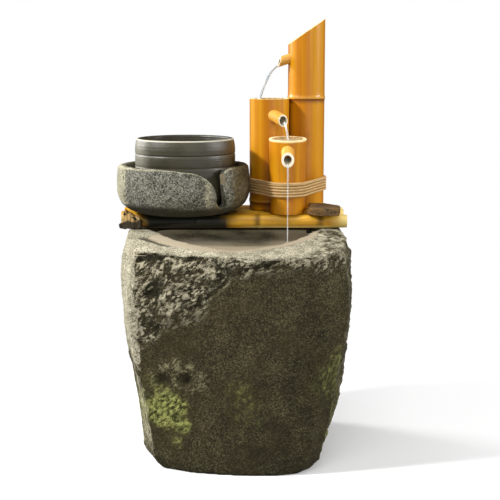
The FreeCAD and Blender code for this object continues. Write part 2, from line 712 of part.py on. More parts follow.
def makePole(row):
    label = "raft_pole_%d" % (row + 1)
    body = newBody(label)
    left, right = poleEnds(row)
    radius = pole_outer / 2
    nodes = []
    for step in range(-4, 5):
        node = raft_right - pole_first_node + pole_stagger * row + pole_node * step
        if (left + pole_plain).value < node.value < (right - pole_plain).value:
            nodes.append(node)
    side = culmOutline(left, right, radius, radius, nodes, pole_ring, pole_ring_width)
    turned(body, "culm", flipped(side), axis="H_Axis")
    for name, start, stop in (("left_bore", left, left + pole_bore_depth),
                              ("right_bore", right - pole_bore_depth, right)):
        turned(body, name, box(start, 0, stop, radius - pole_wall), axis="H_Axis", cut=True)
    holes = newSketch(body, "dowel_holes", "XZ_Plane")
    for x in dowelSpots():
        circle(holes, x, 0, dowel_outer / 2 + fit)
    if row == 0:
        bind(holes, "AttachmentOffset.Base.z", radius - dowel_cover)
        pushed(body, "dowel_sockets", holes, pole_outer, cut=True)
    else:
        pushed(body, "dowel_bores", holes, pole_outer * 2, cut=True, both=True)
    upright = newSketch(body, "upright_holes", "XY_Plane")
    sunk = newSketch(body, "screw_seats", "XY_Plane", -radius)
    screws = [x for x, place in screwSpots() if place == row]
    for x in screws:
        circle(upright, x, 0, screw_shank / 2 + fit)
        circle(sunk, x, 0, screw_head / 2 + fit)
    if row == int(tall_row.value):
        circle(upright, hose_x, 0, hose_hole / 2)
    if screws or row == int(tall_row.value):
        pushed(body, "upright_bores", upright, pole_outer * 2, cut=True, both=True)
    if screws:
        pushed(body, "screw_sinks", sunk, screw_sink, cut=True, reverse=True)
    place(body, 0, polePlace(row), pole_axis_height)
    return keep(body, label)


# The same outline lying down: its height becomes its length along X
def flipped(corners):
    turnedOver = []
    for corner in corners:
        spot = (corner[1], corner[0])
        if len(corner) == 4:
            spot = spot + (corner[2], -corner[3])
        turnedOver.append(spot)
    return turnedOver


def makeDowels():
    dowels = []
    last = polePlace(5) + pole_outer / 2
    front = -pole_outer / 2 + dowel_cover + seat_gap
    for x, name in zip(dowelSpots(), ("left_dowel", "right_dowel")):
        dowel = rod(name, dowel_outer / 2, last - front)
        place(dowel, x, last, pole_axis_height, 0, 0, 90)
        dowels.append(dowel)
    group = doc.addObject("Part::Compound", "raft_dowels")
    group.Links = dowels
    return keep(group, "raft_dowels")


# Weathered wood: the chock at the raft's left end and the block beside the tubes

def makeChock():
    body = newBody("left_chock")
    side = newSketch(body, "chock_outline", "XZ_Plane")
    outline(side, [
        (0, 0),
        (0, chock_height * 0.40),
        (chock_width * -0.10, chock_height * 0.60),
        (chock_width * -0.34, chock_height * 0.72),
        (chock_width * -0.52, chock_height * 0.86),
        (chock_width * -0.70, chock_height),
        (chock_width * -0.80, chock_height * 0.86),
        (chock_width * -0.90, chock_height * 0.58),
        (chock_width * -0.86, chock_height * 0.40),
        (-chock_width, chock_height * 0.24),
        (chock_width * -0.95, chock_height * 0.05),
        (chock_width * -0.80, 0),
    ])
    pushed(body, "chunk", side, chock_length, reverse=True)
    rounded(body, "worn_edges", chock_chip, frontEdges, "Chamfer")
    place(body, chock_x, -chock_front, basin_height + seat_gap)
    return keep(body, "left_chock")


def frontEdges(edge):
    return all(abs(spot.Point.y) < 0.001 for spot in edge.Vertexes)


def topEdges(edge):
    return all(abs(spot.Point.z - block_height.value) < 0.001 for spot in edge.Vertexes)


def makeBlock():
    body = newBody("right_block")
    plan = newSketch(body, "block_outline", "XY_Plane")
    outline(plan, [
        (0, block_length * 0.26),
        (block_width * 0.42, 0),
        (block_width * 0.90, block_length * 0.06),
        (block_width, block_length * 0.56),
        (block_width * 0.56, block_length * 0.96),
        (block_width * 0.08, block_length),
    ])
    pushed(body, "slab", plan, block_height)
    rounded(body, "worn_edges", chock_chip, topEdges, "Chamfer")
    place(body, block_x, -block_front, tube_foot)
    return keep(body, "right_block")


# Bamboo tubes: each stands on the raft, closed at its foot by a node's wall

def tubeBody(label, outer, footOuter, height, rings):
    body = newBody(label)
    turned(body, "culm", culmOutline(
        asSize(0), height, footOuter / 2, outer / 2, rings, tube_ring, tube_ring_width))
    return body


def hollow(body, name, low, high, lowRadius, highRadius):
    turned(body, name, [(0, low), (lowRadius, low), (highRadius, high), (0, high)], cut=True)


def footHoles(body, screws, behind):
    holes = newSketch(body, "screw_holes", "XY_Plane")
    for side in (-1, 1):
        circle(holes, screws * side, behind, screw_shank / 2 + fit)
    pushed(body, "pilot_holes", holes, screw_bite + seat_gap, cut=True, reverse=True)


def roundRim(body, height):
    top = height.value
    rounded(body, "rim", rim_round, lambda edge: all(
        abs(spot.Point.z - top) < 0.001 for spot in edge.Vertexes))


def spoutHole(label, spout):
    tool = rod(label + "_bore", spout["outer"] / 2 + fit, spout["reach"] * 3)
    back = spout["start"] - tube_wall
    x, y, z = spout["root"]
    level = back * cosOf(spout["pitch"])
    x = x + level * cosOf(spout["yaw"])
    y = y + level * sinOf(spout["yaw"])
    z = z - back * sinOf(spout["pitch"])
    place(tool, x, y, z, spout["yaw"], spout["pitch"] + 90, 0)
    return tool


def makeTallTube():
    high = tall_low + tanOf(tall_slant) * tall_outer
    body = tubeBody("tall_tube_blank", tall_outer, tall_outer, high, [tall_node])
    inner = tall_outer / 2 - tube_wall
    hollow(body, "lower_hollow", septum, tall_node - septum / 2, inner, inner)
    hollow(body, "upper_hollow", tall_node + septum / 2, high + overshoot, inner, inner)
    slant = newSketch(body, "slant_outline", "XZ_Plane")
    half = tall_outer / 2
    outline(slant, [
        (-half, tall_low),
        (half * 1.2, tall_low + tanOf(tall_slant) * half * 2.2),
        (half * 1.2, high * 1.2),
        (-half * 1.2, high * 1.2),
        (-half * 1.2, tall_low),
    ])
    pushed(body, "slanting_cut", slant, tall_outer * 2, cut=True, both=True)
    footHoles(body, tall_screws, 0)
    way = newSketch(body, "hose_way", "XY_Plane")
    circle(way, hose_offset, 0, hose_hole / 2)
    pushed(body, "hose_holes", way, tall_node + septum, cut=True, reverse=True)
    place(body, tall_x, tall_y, tube_foot)
    return cutWith("tall_tube", body, [spoutHole("upper_spout", upperSpout)])


def makeMediumTube():
    body = tubeBody("medium_tube_blank", medium_outer, medium_outer, medium_height, [medium_node])
    inner = medium_outer / 2 - tube_wall
    hollow(body, "cup", septum, medium_height + overshoot, inner, inner)
    nearest = int(round((medium_y / pole_pitch).value))
    footHoles(body, medium_screws, pole_pitch * nearest - medium_y)
    roundRim(body, medium_height)
    place(body, medium_x, medium_y, tube_foot)
    return cutWith("medium_tube", body, [spoutHole("middle_spout", middleSpout)])


def makeSmallTube():
    rise = tanOf(small_slant) * small_outer / 2
    body = tubeBody("small_tube_blank", small_outer, small_foot, small_height + rise, [])
    foot = small_foot / 2 - tube_wall
    head = small_outer / 2 - tube_wall
    hollow(body, "cup", septum, small_height + rise, foot, head)
    slant = newSketch(body, "rim_outline", "YZ_Plane")
    half = small_outer
    outline(slant, [
        (-half, small_height - tanOf(small_slant) * half),
        (half, small_height + tanOf(small_slant) * half),
        (half, small_height * 1.4),
        (-half, small_height * 1.4),
    ])
    pushed(body, "slanting_rim", slant, small_outer * 2, cut=True, both=True)
    front = int(round((small_y / pole_pitch).value))
    footHoles(body, small_screws, pole_pitch * front - small_y)
    place(body, small_x, small_y, tube_foot)
    return cutWith("small_tube", body, [spoutHole("lower_spout", lowerSpout)])


# Spouts: short thin culms, cut off with a longer lower lip. Each is modelled along its own X axis.

def surfaceSpot(x, y, radius, bearing, z):
    return (x + radius * cosOf(bearing), y + radius * sinOf(bearing), z)


upperSpout = {
    "label": "upper_spout", "outer": upper_outer, "bore": upper_bore, "yaw": upper_yaw,
    "pitch": upper_pitch, "start": upper_start, "reach": upper_end, "lip": upper_lip,
    "root": (hose_x, hose_y, tube_foot + upper_height),
}
middleSpout = {
    "label": "middle_spout", "outer": middle_outer, "bore": middle_bore, "yaw": middle_yaw,
    "pitch": middle_pitch, "start": -tube_wall * 1.5, "reach": middle_reach, "lip": spout_lip,
    "root": surfaceSpot(medium_x, medium_y, medium_outer / 2, middle_bearing,
                        tube_foot + middle_height),
}
lowerRadius = small_foot / 2 + (small_outer - small_foot) / 2 * lower_height / small_height
lowerSpout = {
    "label": "lower_spout", "outer": lower_outer, "bore": lower_bore, "yaw": lower_yaw,
    "pitch": lower_pitch, "start": -tube_wall * 1.6, "reach": lower_reach, "lip": spout_lip,
    "root": surfaceSpot(small_x, small_y, lowerRadius, lower_bearing, tube_foot + lower_height),
}


def makeSpout(spout):
    body = newBody(spout["label"])
    root = spout["outer"] / 2
    tip = root - spout_taper
    bore = spout["bore"] / 2
    start, reach = spout["start"], spout["reach"]
    taperStart = start + tube_wall * 2.4
    turned(body, "culm", [
        (start, bore), (reach, bore), (reach, tip), (taperStart, root), (start, root)],
        axis="H_Axis")
    cut = newSketch(body, "lip_outline", "XZ_Plane")
    back = tanOf(spout["lip"]) * root * 2
    outline(cut, [
        (reach, -root),
        (reach * 1.5 + root, -root),
        (reach * 1.5 + root, root * 2),
        (reach - back * 1.5, root * 2),
    ])
    pushed(body, "slanting_lip", cut, spout["outer"] * 2, cut=True, both=True)
    place(body, *spout["root"], spout["yaw"], spout["pitch"], 0)
    return keep(body, spout["label"])


# Rope binding: the turns lie round all three tubes, straight between them and round where they
# touch one. The section is a row of rope widths, carried round that loop.

def tangentLoop(rounds):
    loop = []
    count = len(rounds)
    normals = []
    for index in range(count):
        centre, radius = rounds[index]
        following, nextRadius = rounds[(index + 1) % count]
        way = following - centre
        share = (radius - nextRadius) / way.Length
        way.normalize()
        right = FreeCAD.Vector(way.y, -way.x, 0)
        normals.append(way * share + right * math.sqrt(1 - share ** 2))
    for index in range(count):
        centre, radius = rounds[index]
        following, nextRadius = rounds[(index + 1) % count]
        before, after = normals[index - 1], normals[index]
        middle = (before + after).normalize()
        loop.append(Part.Arc(
            centre + before * radius, centre + middle * radius, centre + after * radius).toShape())
        loop.append(Part.LineSegment(
            centre + after * radius, following + after * nextRadius).toShape())
    return Part.Wire(loop)


def ropeSection(start, outward, bottom):
    radius = rope_outer.value / 2
    pitch = rope_pitch.value
    turns = int(rope_turns.value)
    flat = math.sqrt(radius ** 2 - (pitch / 2) ** 2) if pitch < 2 * radius else 0
    edges = []
    reach = max(flat, rope_touch.value)
    half = min(pitch / 2, math.sqrt(radius ** 2 - reach ** 2))
    inner = start - outward * radius
    up = FreeCAD.Vector(0, 0, 1)
    for turn in range(turns):
        axis = start + up * (bottom + radius + pitch * turn)
        low = axis + outward * reach - up * half
        high = axis + outward * reach + up * half
        edges.append(Part.Arc(low, axis + outward * radius, high).toShape())
        if turn < turns - 1:
            following = start + up * (bottom + radius + pitch * (turn + 1))
            edges.append(Part.LineSegment(
                high, following + outward * reach - up * half).toShape())
    first = edges[0].Vertexes[0].Point
    last = edges[-1].Vertexes[-1].Point
    back = FreeCAD.Vector(inner.x, inner.y, last.z)
    front = FreeCAD.Vector(inner.x, inner.y, first.z)
    edges.append(Part.LineSegment(last, back).toShape())
    edges.append(Part.LineSegment(back, front).toShape())
    edges.append(Part.LineSegment(front, first).toShape())
    return Part.Wire(edges)


def makeRope():
    bottom = (deck + rope_low).value
    top = rope_low + rope_pitch * rope_turns
    smallRadius = small_foot / 2 + (small_outer - small_foot) / 2 * top / small_height
    stand = (rope_gap + rope_outer / 2).value
    rounds = [
        (FreeCAD.Vector(tall_x.value, tall_y.value, 0), tall_outer.value / 2 + stand),
        (FreeCAD.Vector(medium_x.value, medium_y.value, 0), medium_outer.value / 2 + stand),
        (FreeCAD.Vector(small_x.value, small_y.value, 0), smallRadius.value + stand),
    ]
    loop = tangentLoop(rounds)
    start = loop.OrderedVertexes[0].Point
    outward = (start - rounds[0][0]).normalize()
    section = ropeSection(start, outward, bottom)
    lifted = loop.translated(FreeCAD.Vector(0, 0, bottom + rope_outer.value / 2))
    rope = doc.addObject("Part::Feature", "rope_binding")
    rope.Shape = lifted.makePipeShell([section], True, True)
    return keep(rope, "rope_binding")


# Hose: straight runs joined by arcs, from the pump's nozzle through the fifth pole and up the
# tall tube into the upper spout

def roundedRoute(corners, radii):
    edges = []
    at = corners[0]
    for index in range(1, len(corners) - 1):
        corner, radius = corners[index], radii[index - 1]
        before = (corner - corners[index - 1]).normalize()
        after = (corners[index + 1] - corner).normalize()
        half = before.getAngle(after) / 2
        trim = radius * math.tan(half)
        first = corner - before * trim
        last = corner + after * trim
        side = (after - before).normalize()
        centre = corner + side * (radius / math.cos(half))
        middle = centre - side * radius
        edges.append(Part.LineSegment(at, first).toShape())
        edges.append(Part.Arc(first, middle, last).toShape())
        at = last
    edges.append(Part.LineSegment(at, corners[-1]).toShape())
    return Part.Wire(edges)


def makeHose():
    yaw, pitch = math.radians(upper_yaw.value), math.radians(upper_pitch.value)
    along = FreeCAD.Vector(
        math.cos(yaw) * math.cos(pitch), math.sin(yaw) * math.cos(pitch), -math.sin(pitch))
    top = FreeCAD.Vector(hose_x.value, hose_y.value, (tube_foot + upper_height).value)
    nozzle = FreeCAD.Vector(pump_x.value, outlet_y.value, flange_top.value)
    low = FreeCAD.Vector(nozzle.x, nozzle.y, nozzle.z + hose_low.value)
    high = FreeCAD.Vector(top.x, top.y, raft_low.value - hose_high.value)
    end = top + along * (upper_start + hose_in_spout).value
    turn = (high - low).getAngle(FreeCAD.Vector(0, 0, 1)) / 2
    lowRadius = 0.9 * min(hose_low.value, (high - low).Length / 2) / math.tan(turn)
    highRadius = 0.9 * (high - low).Length / 2 / math.tan(turn)
    corners = [nozzle, low, high, top, end]
    radii = [lowRadius, highRadius, hose_top_bend.value]
    route = roundedRoute(corners, radii)
    section = Part.Wire(Part.Circle(
        nozzle, FreeCAD.Vector(0, 0, 1), hose_outer.value / 2).toShape())
    tube = route.makePipeShell([section], True, False)
    bore = hose_bore.value / 2
    lowBore = Part.makeCylinder(bore, (nozzle_barb + overshoot).value, nozzle)
    highBore = Part.makeCylinder(bore, nozzle_barb.value, end, along * -1)
    hose = doc.addObject("Part::Feature", "water_hose")
    hose.Shape = tube.cut(lowBore).cut(highBore)
    return keep(hose, "water_hose")


# Screws

def makeScrews():
    screws = []
    length = pole_outer - screw_sink + seat_gap + screw_bite
    for number, (x, row) in enumerate(screwSpots()):
        body = newBody("screw_%d" % (number + 1))
        head = screw_head / 2
        shank = screw_shank / 2
        turned(body, "screw", [
            (0, -screw_head_height),
            (head * 0.7, -screw_head_height),
            (head, -screw_head_height * 0.45),
            (head, 0),
            (shank, 0),
            (shank, length - screw_shank),
            (0, length),
        ])
        place(body, x, polePlace(row), raft_low + screw_sink)
        screws.append(body)
    group = doc.addObject("Part::Compound", "tube_screws")
    group.Links = screws
    return keep(group, "tube_screws")


# Stone bowl, turned, with a pouring notch cut down to its floor

def makeBowl():
    body = newBody("stone_bowl")
    outer = bowl_outer / 2
    foot = bowl_foot / 2
    inner = outer - bowl_wall
    high = bowl_height
    edge = bowl_rim_round
    turned(body, "bowl", [
        (0, 0),
        (foot, 0),
        (outer * 0.93, high * 0.20, outer * 0.50, 1),
        (outer, high * 0.62, outer * 0.42, 1),
        (outer * 0.98, high - edge, outer * 1.1, 1),
        (outer * 0.98 - edge, high, edge, 1),
        (inner + edge * 0.3, high),
        (inner - edge * 0.15, high - edge, edge, 1),
        (inner - edge * 0.5, bowl_floor + edge * 2),
        (inner - edge * 2.5, bowl_floor, edge * 2, -1),
        (0, bowl_floor),
    ])
    notch = newSketch(body, "notch_outline", "XZ_Plane")
    half = notch_floor / 2
    left = -half - notch_round * 0.6
    right = half - notch_round * 0.4
    middle = high - notch_sweep - edge
    outline(notch, [
        (left - notch_sweep, high - edge + notch_round / 2),
        (left, middle, notch_sweep + notch_round / 2, -1),
        (-half + notch_round * 0.8, bowl_floor + notch_round),
        (-half + notch_round * 1.6, bowl_floor + notch_step, notch_round, 1),
        (half + notch_round * 0.4, bowl_floor + notch_step),
        (half + notch_round * 1.2, bowl_floor + notch_round, notch_round, 1),
        (half, high * 0.62),
        (right, high - notch_shoulder),
        (right + notch_shoulder, high - notch_round * 0.4, notch_shoulder, -1),
        (half + notch_shoulder * 1.6, high + edge),
        (left - notch_sweep * 1.6, high + edge),
        (left - notch_sweep * 1.6, high - notch_step),
    ])
    pushed(body, "notch", notch, outer * 1.2, cut=True, reverse=True)
    place(body, bowl_x, bowl_y, deck + lift_gap, notch_bearing, 0, 0)
    return keep(body, "stone_bowl")


def makePot():
    body = newBody("inner_pot")
    outer = pot_outer / 2
    foot = pot_foot / 2
    inner = outer - pot_wall
    high = pot_height
    edge = pot_wall / 2
    turned(body, "pot", [
        (0, pot_foot_rise),
        (foot - pot_foot_ring - pot_foot_rise, pot_foot_rise),
        (foot - pot_foot_ring, 0),
        (foot, 0),
        (outer, high * 0.26, outer * 0.62, 1),
        (outer, high - edge),
        (outer - edge, high, edge, 1),
        (inner, high - edge, edge, 1),
        (inner - pot_narrow, pot_floor + edge * 3),
        (inner - pot_narrow - edge * 3, pot_floor, edge * 3, -1),
        (0, pot_floor),
    ])
    for name, middle, depth in (("groove", pot_groove, pot_groove_depth),
                                ("faint_line", pot_line, pot_groove_depth / 2)):
        turned(body, name, [
            (outer - depth, middle),
            (outer + overshoot, middle - pot_groove_width / 2 - depth),
            (outer + overshoot, middle + pot_groove_width / 2 + depth),
        ], cut=True)
    place(body, bowl_x + pot_shift, bowl_y, deck + lift_gap + bowl_floor)
    return keep(body, "inner_pot")


# Pump. Its pieces share a frame at the middle of the housing's front face, with the shaft along Y.

def placePump(thing, y=0, z=0):
    place(thing, pump_x, pump_y + y, pump_axis_height + z)


def pumpBox(body, name, length, offset=None, reverse=False):
    front = newSketch(body, name + "_outline", "XZ_Plane", offset)
    outline(front, roundedBox(
        -pump_width / 2, -pump_height / 2, pump_width / 2, pump_height / 2, pump_round))
    return pushed(body, name, front, length, reverse=reverse)


def boreY(body, name, radius, length):
    hole = newSketch(body, name + "_circle", "XZ_Plane")
    circle(hole, 0, 0, radius)
    return pushed(body, name, hole, length, cut=True)


def makeHousing():
    body = newBody("pump_housing")
    pumpBox(body, "block", pump_length, reverse=True)
    boss = newSketch(body, "boss_circle", "XY_Plane", pump_height / 2)
    circle(boss, 0, outlet_back, nozzle_boss / 2)
    pushed(body, "boss", boss, nozzle_boss_height)
    boreY(body, "chamber", chamber_bore / 2, chamber_depth)
    boreY(body, "well", well_bore / 2, well_depth)
    boreY(body, "bush_seat", bush_outer / 2 + fit, well_depth + bush_length)
    ringIn = (seal_middle - seal_section) / 2 - fit
    ringOut = (seal_middle + seal_section) / 2 + fit
    groove = newSketch(body, "seal_rings", "XZ_Plane")
    circle(groove, 0, 0, ringOut)
    circle(groove, 0, 0, ringIn)
    pushed(body, "seal_groove", groove, seal_section + fit, cut=True)
    outlet = newSketch(body, "outlet_circle", "XY_Plane", pump_height / 2 + nozzle_boss_height)
    circle(outlet, 0, outlet_back, nozzle_thread / 2 + fit)
    pushed(body, "outlet_thread", outlet, nozzle_boss_height + thread_extra, cut=True)
    way = newSketch(body, "outlet_way_circle", "XY_Plane", pump_height / 2)
    circle(way, 0, outlet_back, nozzle_bore / 2)
    pushed(body, "outlet_way", way, pump_height / 2 - chamber_bore / 4, cut=True)
    stems = newSketch(body, "stem_circles", "XY_Plane", -pump_height / 2)
    for x, y in footSpots():
        circle(stems, x, y, foot_stem / 2 + fit)
    pushed(body, "stem_holes", stems, foot_stem_length + seat_gap, cut=True, reverse=True)
    gland = newSketch(body, "gland_circle", "XZ_Plane", -pump_length)
    circle(gland, 0, 0, gland_outer / 2 + fit)
    pushed(body, "gland_hole", gland, gland_seat + seat_gap, cut=True, reverse=True)
    placePump(body)
    return keep(body, "pump_housing")


def footSpots():
    across = pump_width / 2 - foot_inset
    return [(across * side, y) for side in (-1, 1) for y in (foot_inset, pump_length - foot_inset)]


def makeFeet():
    feet = []
    for number, (x, y) in enumerate(footSpots()):
        body = newBody("foot_%d" % (number + 1))
        cup = foot_outer / 2
        stem = foot_stem / 2
        turned(body, "foot", [
            (0, foot_height * 0.4),
            (cup - foot_edge, 0),
            (cup, 0),
            (stem + foot_edge, foot_height * 0.6),
            (stem + foot_edge, foot_height - seat_gap),
            (stem, foot_height - seat_gap),
            (stem, foot_height + foot_stem_length),
            (0, foot_height + foot_stem_length),
        ])
        place(body, pump_x + x, pump_y + y, cavity_floor)
        feet.append(body)
    group = doc.addObject("Part::Compound", "suction_feet")
    group.Links = feet
    return keep(group, "suction_feet")


def makeNozzle():
    body = newBody("outlet_nozzle")
    bore = nozzle_bore / 2
    thread = nozzle_thread / 2
    flange = nozzle_flange / 2
    barb = hose_bore / 2 - fit
    third = nozzle_barb / 3
    depth = nozzle_boss_height + thread_extra - seat_gap
    turned(body, "nozzle", [
        (bore, -depth),
        (thread, -depth),
        (thread, 0),
        (flange, 0),
        (flange, flange_thick),
        (barb - barb_depth, flange_thick),
        (barb - barb_depth, flange_thick + third * 0.5),
        (barb, flange_thick + third * 0.8),
        (barb - barb_depth, flange_thick + third * 1.7),
        (barb, flange_thick + third * 1.8),
        (barb - barb_depth, flange_thick + third * 2.8),
        (bore, flange_thick + nozzle_barb),
    ])
    place(body, pump_x, outlet_y, boss_top)
    return keep(body, "outlet_nozzle")


def makeCover():
    body = newBody("impeller_cover")
    pumpBox(body, "plate", cover_thick)
    slot = newSketch(body, "eye_outline", "XZ_Plane", cover_thick)
    near = cover_hub
    far = cover_eye
    side = cover_arm / 2
    nearAway = rootOf(near * near - side * side)
    farAway = rootOf(far * far - side * side)
    leanNear = near * 0.866
    leanFar = far * 0.866
    outline(slot, [
        (side + cover_arm_ease, nearAway),
        (side + cover_arm_ease, farAway),
        (-leanFar + side, far / 2 + side * 1.7, far * 1.02, 1),
        (-leanNear + side, near / 2 + side * 1.7),
        (side + cover_arm_ease, nearAway, near * 1.02, -1),
    ][1:])
    eye = pushed(body, "eye", slot, cover_thick, cut=True)
    repeated(body, "eyes", eye, slot, "N_Axis", 3, 360)
    seat = newSketch(body, "bush_circle", "XZ_Plane")
    circle(seat, 0, 0, bush_outer / 2 - bush_step)
    pushed(body, "bush_hole", seat, shaft_front + seat_gap, cut=True, reverse=True)
    placePump(body)
    return keep(body, "impeller_cover")


def makeSeal():
    ring = doc.addObject("Part::Torus", "chamber_seal")
    bind(ring, "Radius1", seal_middle / 2)
    bind(ring, "Radius2", seal_section / 2)
    place(ring, pump_x, pump_y + seal_section / 2 + fit / 2, pump_axis_height, 0, 0, 90)
    return keep(ring, "chamber_seal")


def makeStrainer():
    body = newBody("strainer")
    back = cover_thick
    pumpBox(body, "shell", strainer_length, back)
    inside = newSketch(body, "inside_outline", "XZ_Plane", back)
    outline(inside, roundedBox(
        -pump_width / 2 + strainer_wall, -pump_height / 2 + strainer_wall,
        pump_width / 2 - strainer_wall, pump_height / 2 - strainer_wall,
        pump_round - strainer_wall))
    pushed(body, "inside", inside, strainer_length - strainer_wall, cut=True, reverse=True)
    slots = newSketch(body, "front_slots", "XZ_Plane", back + strainer_length)
    count = int(slot_count.value)
    tall = pump_height / 2 - pump_round
    dialEdge = dial_outer / 2 + slot_land
    for number in range(count):
        x = slot_pitch * (number - (count - 1) / 2)
        low = -tall
        if abs(x.value) < dial_outer.value / 2 + slot_width.value:
            outline(slots, box(x - slot_width / 2, low, x + slot_width / 2, -dialEdge))
            outline(slots, box(x - slot_width / 2, dialEdge, x + slot_width / 2, tall))
        else:
            outline(slots, box(x - slot_width / 2, low, x + slot_width / 2, tall))
    for side in (-1, 1):
        circle(slots, dial_window * side, 0, dial_hole)
    pushed(body, "front_openings", slots, strainer_wall * 2, cut=True)
    sides = newSketch(body, "side_slots", "YZ_Plane")
    for number in range(4):
        z = slot_pitch * 1.6 * (number - 1.5)
        outline(sides, box(
            slot_inset - back - strainer_length, z - slot_width / 2,
            -back - slot_inset, z + slot_width / 2))
    pushed(body, "side_openings", sides, pump_width * 2, cut=True, both=True)
    pin = newSketch(body, "pin_circle", "XZ_Plane", back + strainer_length)
    circle(pin, 0, 0, dial_pin / 2 + fit)
    pushed(body, "pin_hole", pin, strainer_wall * 2, cut=True)
    placePump(body, -seat_gap)
    return keep(body, "strainer")


def makeDial():
    body = newBody("flow_dial")
    face = newSketch(body, "dial_outline", "XZ_Plane")
    circle(face, 0, 0, dial_outer / 2)
    for side in (-1, 1):
        circle(face, 0, dial_window * side, dial_hole)
    pushed(body, "disc", face, dial_thick)
    grip = newSketch(body, "grip_outline", "XZ_Plane", dial_thick)
    outline(grip, box(
        -dial_outer * 0.42, -dial_grip / 2, dial_outer * 0.42, dial_grip / 2))
    pushed(body, "grip", grip, dial_thick)
    pin = newSketch(body, "pin_outline", "XZ_Plane")
    circle(pin, 0, 0, dial_pin / 2)
    pushed(body, "pin", pin, strainer_wall * 1.5, reverse=True)
    placePump(body, -cover_thick - strainer_length - seat_gap * 2)
    return keep(body, "flow_dial")


# Rotor: the impeller and its magnet turn together on the ceramic shaft

def makeImpeller():
    body = newBody("impeller")
    plate = newSketch(body, "plate_outline", "XZ_Plane")
    circle(plate, 0, 0, impeller_outer / 2)
    pushed(body, "back_plate", plate, impeller_plate)
    hub = newSketch(body, "hub_outline", "XZ_Plane", impeller_plate)
    circle(hub, 0, 0, hub_outer / 2)
    pushed(body, "hub", hub, rotor_back - impeller_plate - rotor_play)
    blade = newSketch(body, "blade_outline", "XZ_Plane", impeller_plate)
    half = blade_thick / 2
    outline(blade, [
        (hub_outer / 2 - overshoot, -half),
        (impeller_outer / 2 - 0.5, -half + impeller_outer * 0.16, impeller_outer * 0.5, 1),
        (impeller_outer / 2 - 1.2, half + impeller_outer * 0.17),
        (hub_outer / 2 - overshoot, half, impeller_outer * 0.5, -1),
    ])
    first = pushed(body, "blade", blade, blade_height)
    repeated(body, "blades", first, blade, "N_Axis", int(blade_count.value), 360)
    doc.recompute()
    bore = newSketch(body, "bore_circle", "XZ_Plane")
    circle(bore, 0, 0, shaft_outer / 2 + fit)
    pushed(body, "bore", bore, pump_length, cut=True, both=True)
    placePump(body, rotor_back)
    return keep(body, "impeller")


def makeMagnet():
    body = newBody("rotor_magnet")
    radius = magnet_outer / 2
    shaft = shaft_outer / 2 + fit
    start = rotor_back
    stop = well_depth - rotor_play
    turned(body, "magnet", [
        (start, shaft),
        (stop, shaft),
        (stop, radius - rotor_ease),
        (stop - rotor_ease, radius),
        (start + rotor_ease, radius),
        (start, radius - rotor_ease),
    ], plane="YZ_Plane", axis="H_Axis")
    placePump(body)
    return keep(body, "rotor_magnet")


def makeShaft():
    back = well_depth + bush_length * 0.8
    shaft = rod("rotor_shaft", shaft_outer / 2, shaft_front + back)
    place(shaft, pump_x, pump_y + back, pump_axis_height, 0, 0, 90)
    return keep(shaft, "rotor_shaft")


def makeBushes():
    rear = newBody("rear_bush")
    hole = shaft_outer / 2 + fit
    radius = bush_outer / 2
    turned(rear, "bush", [
        (well_depth, hole),
        (well_depth + bush_length, hole),
        (well_depth + bush_length, radius),
        (well_depth, radius),
    ], plane="YZ_Plane", axis="H_Axis")
    placePump(rear)
    front = newBody("front_bush")
    turned(front, "bush", [
        (-shaft_front, hole),
        (0, hole),
        (0, radius - bush_step - fit),
        (-shaft_front, radius - bush_step - fit),
    ], plane="YZ_Plane", axis="H_Axis")
    placePump(front)
    group = doc.addObject("Part::Compound", "shaft_bushes")
    group.Links = [rear, front]
    return keep(group, "shaft_bushes")


def makeGland():
    body = newBody("cord_gland")
    root = gland_outer / 2
    tip = gland_tip / 2
    turned(body, "gland", [
        (-gland_seat, 0),
        (gland_length, 0),
        (gland_length, tip),
        (gland_collar_thick + gland_neck, root - gland_neck),
        (gland_collar_thick, root + gland_collar),
        (seat_gap, root + gland_collar),
        (seat_gap, root),
        (-gland_seat, root),
    ], plane="YZ_Plane", axis="H_Axis")
    placePump(body, pump_length)
    return keep(body, "cord_gland")


makeBasin()
for poleRow in range(6):
    makePole(poleRow)
makeDowels()
makeChock()
makeBlock()
makeTallTube()
makeMediumTube()
makeSmallTube()
for spout in (upperSpout, middleSpout, lowerSpout):
    makeSpout(spout)
makeRope()
makeHose()
makeScrews()
makeBowl()
makePot()
makeHousing()
makeFeet()
makeNozzle()
makeCover()
makeSeal()
makeStrainer()
makeDial()
makeImpeller()
makeMagnet()
makeShaft()
makeBushes()
makeGland()


# Check every object, then write each piece

doc.recompute()
faults = []
for thing in doc.Objects:
    if "Invalid" in thing.State or "Error" in thing.State:
        faults.append("%s is %s" % (thing.Label, thing.State))
for part in parts:
    if part.Shape.isNull() or not part.Shape.isValid():
        faults.append("%s has no valid shape" % part.Label)
if faults:
    raise RuntimeError("; ".join(faults))
os.makedirs("parts", exist_ok=True)
for part in parts:
    part.Shape.exportStep("parts/%s.step" % part.Label)
    print(part.Label, len(part.Shape.Solids), "solids", round(part.Shape.Volume / 1000, 1), "cm3")
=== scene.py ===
import json
import math
import bmesh
import bpy
from mathutils import Matrix, Vector, noise


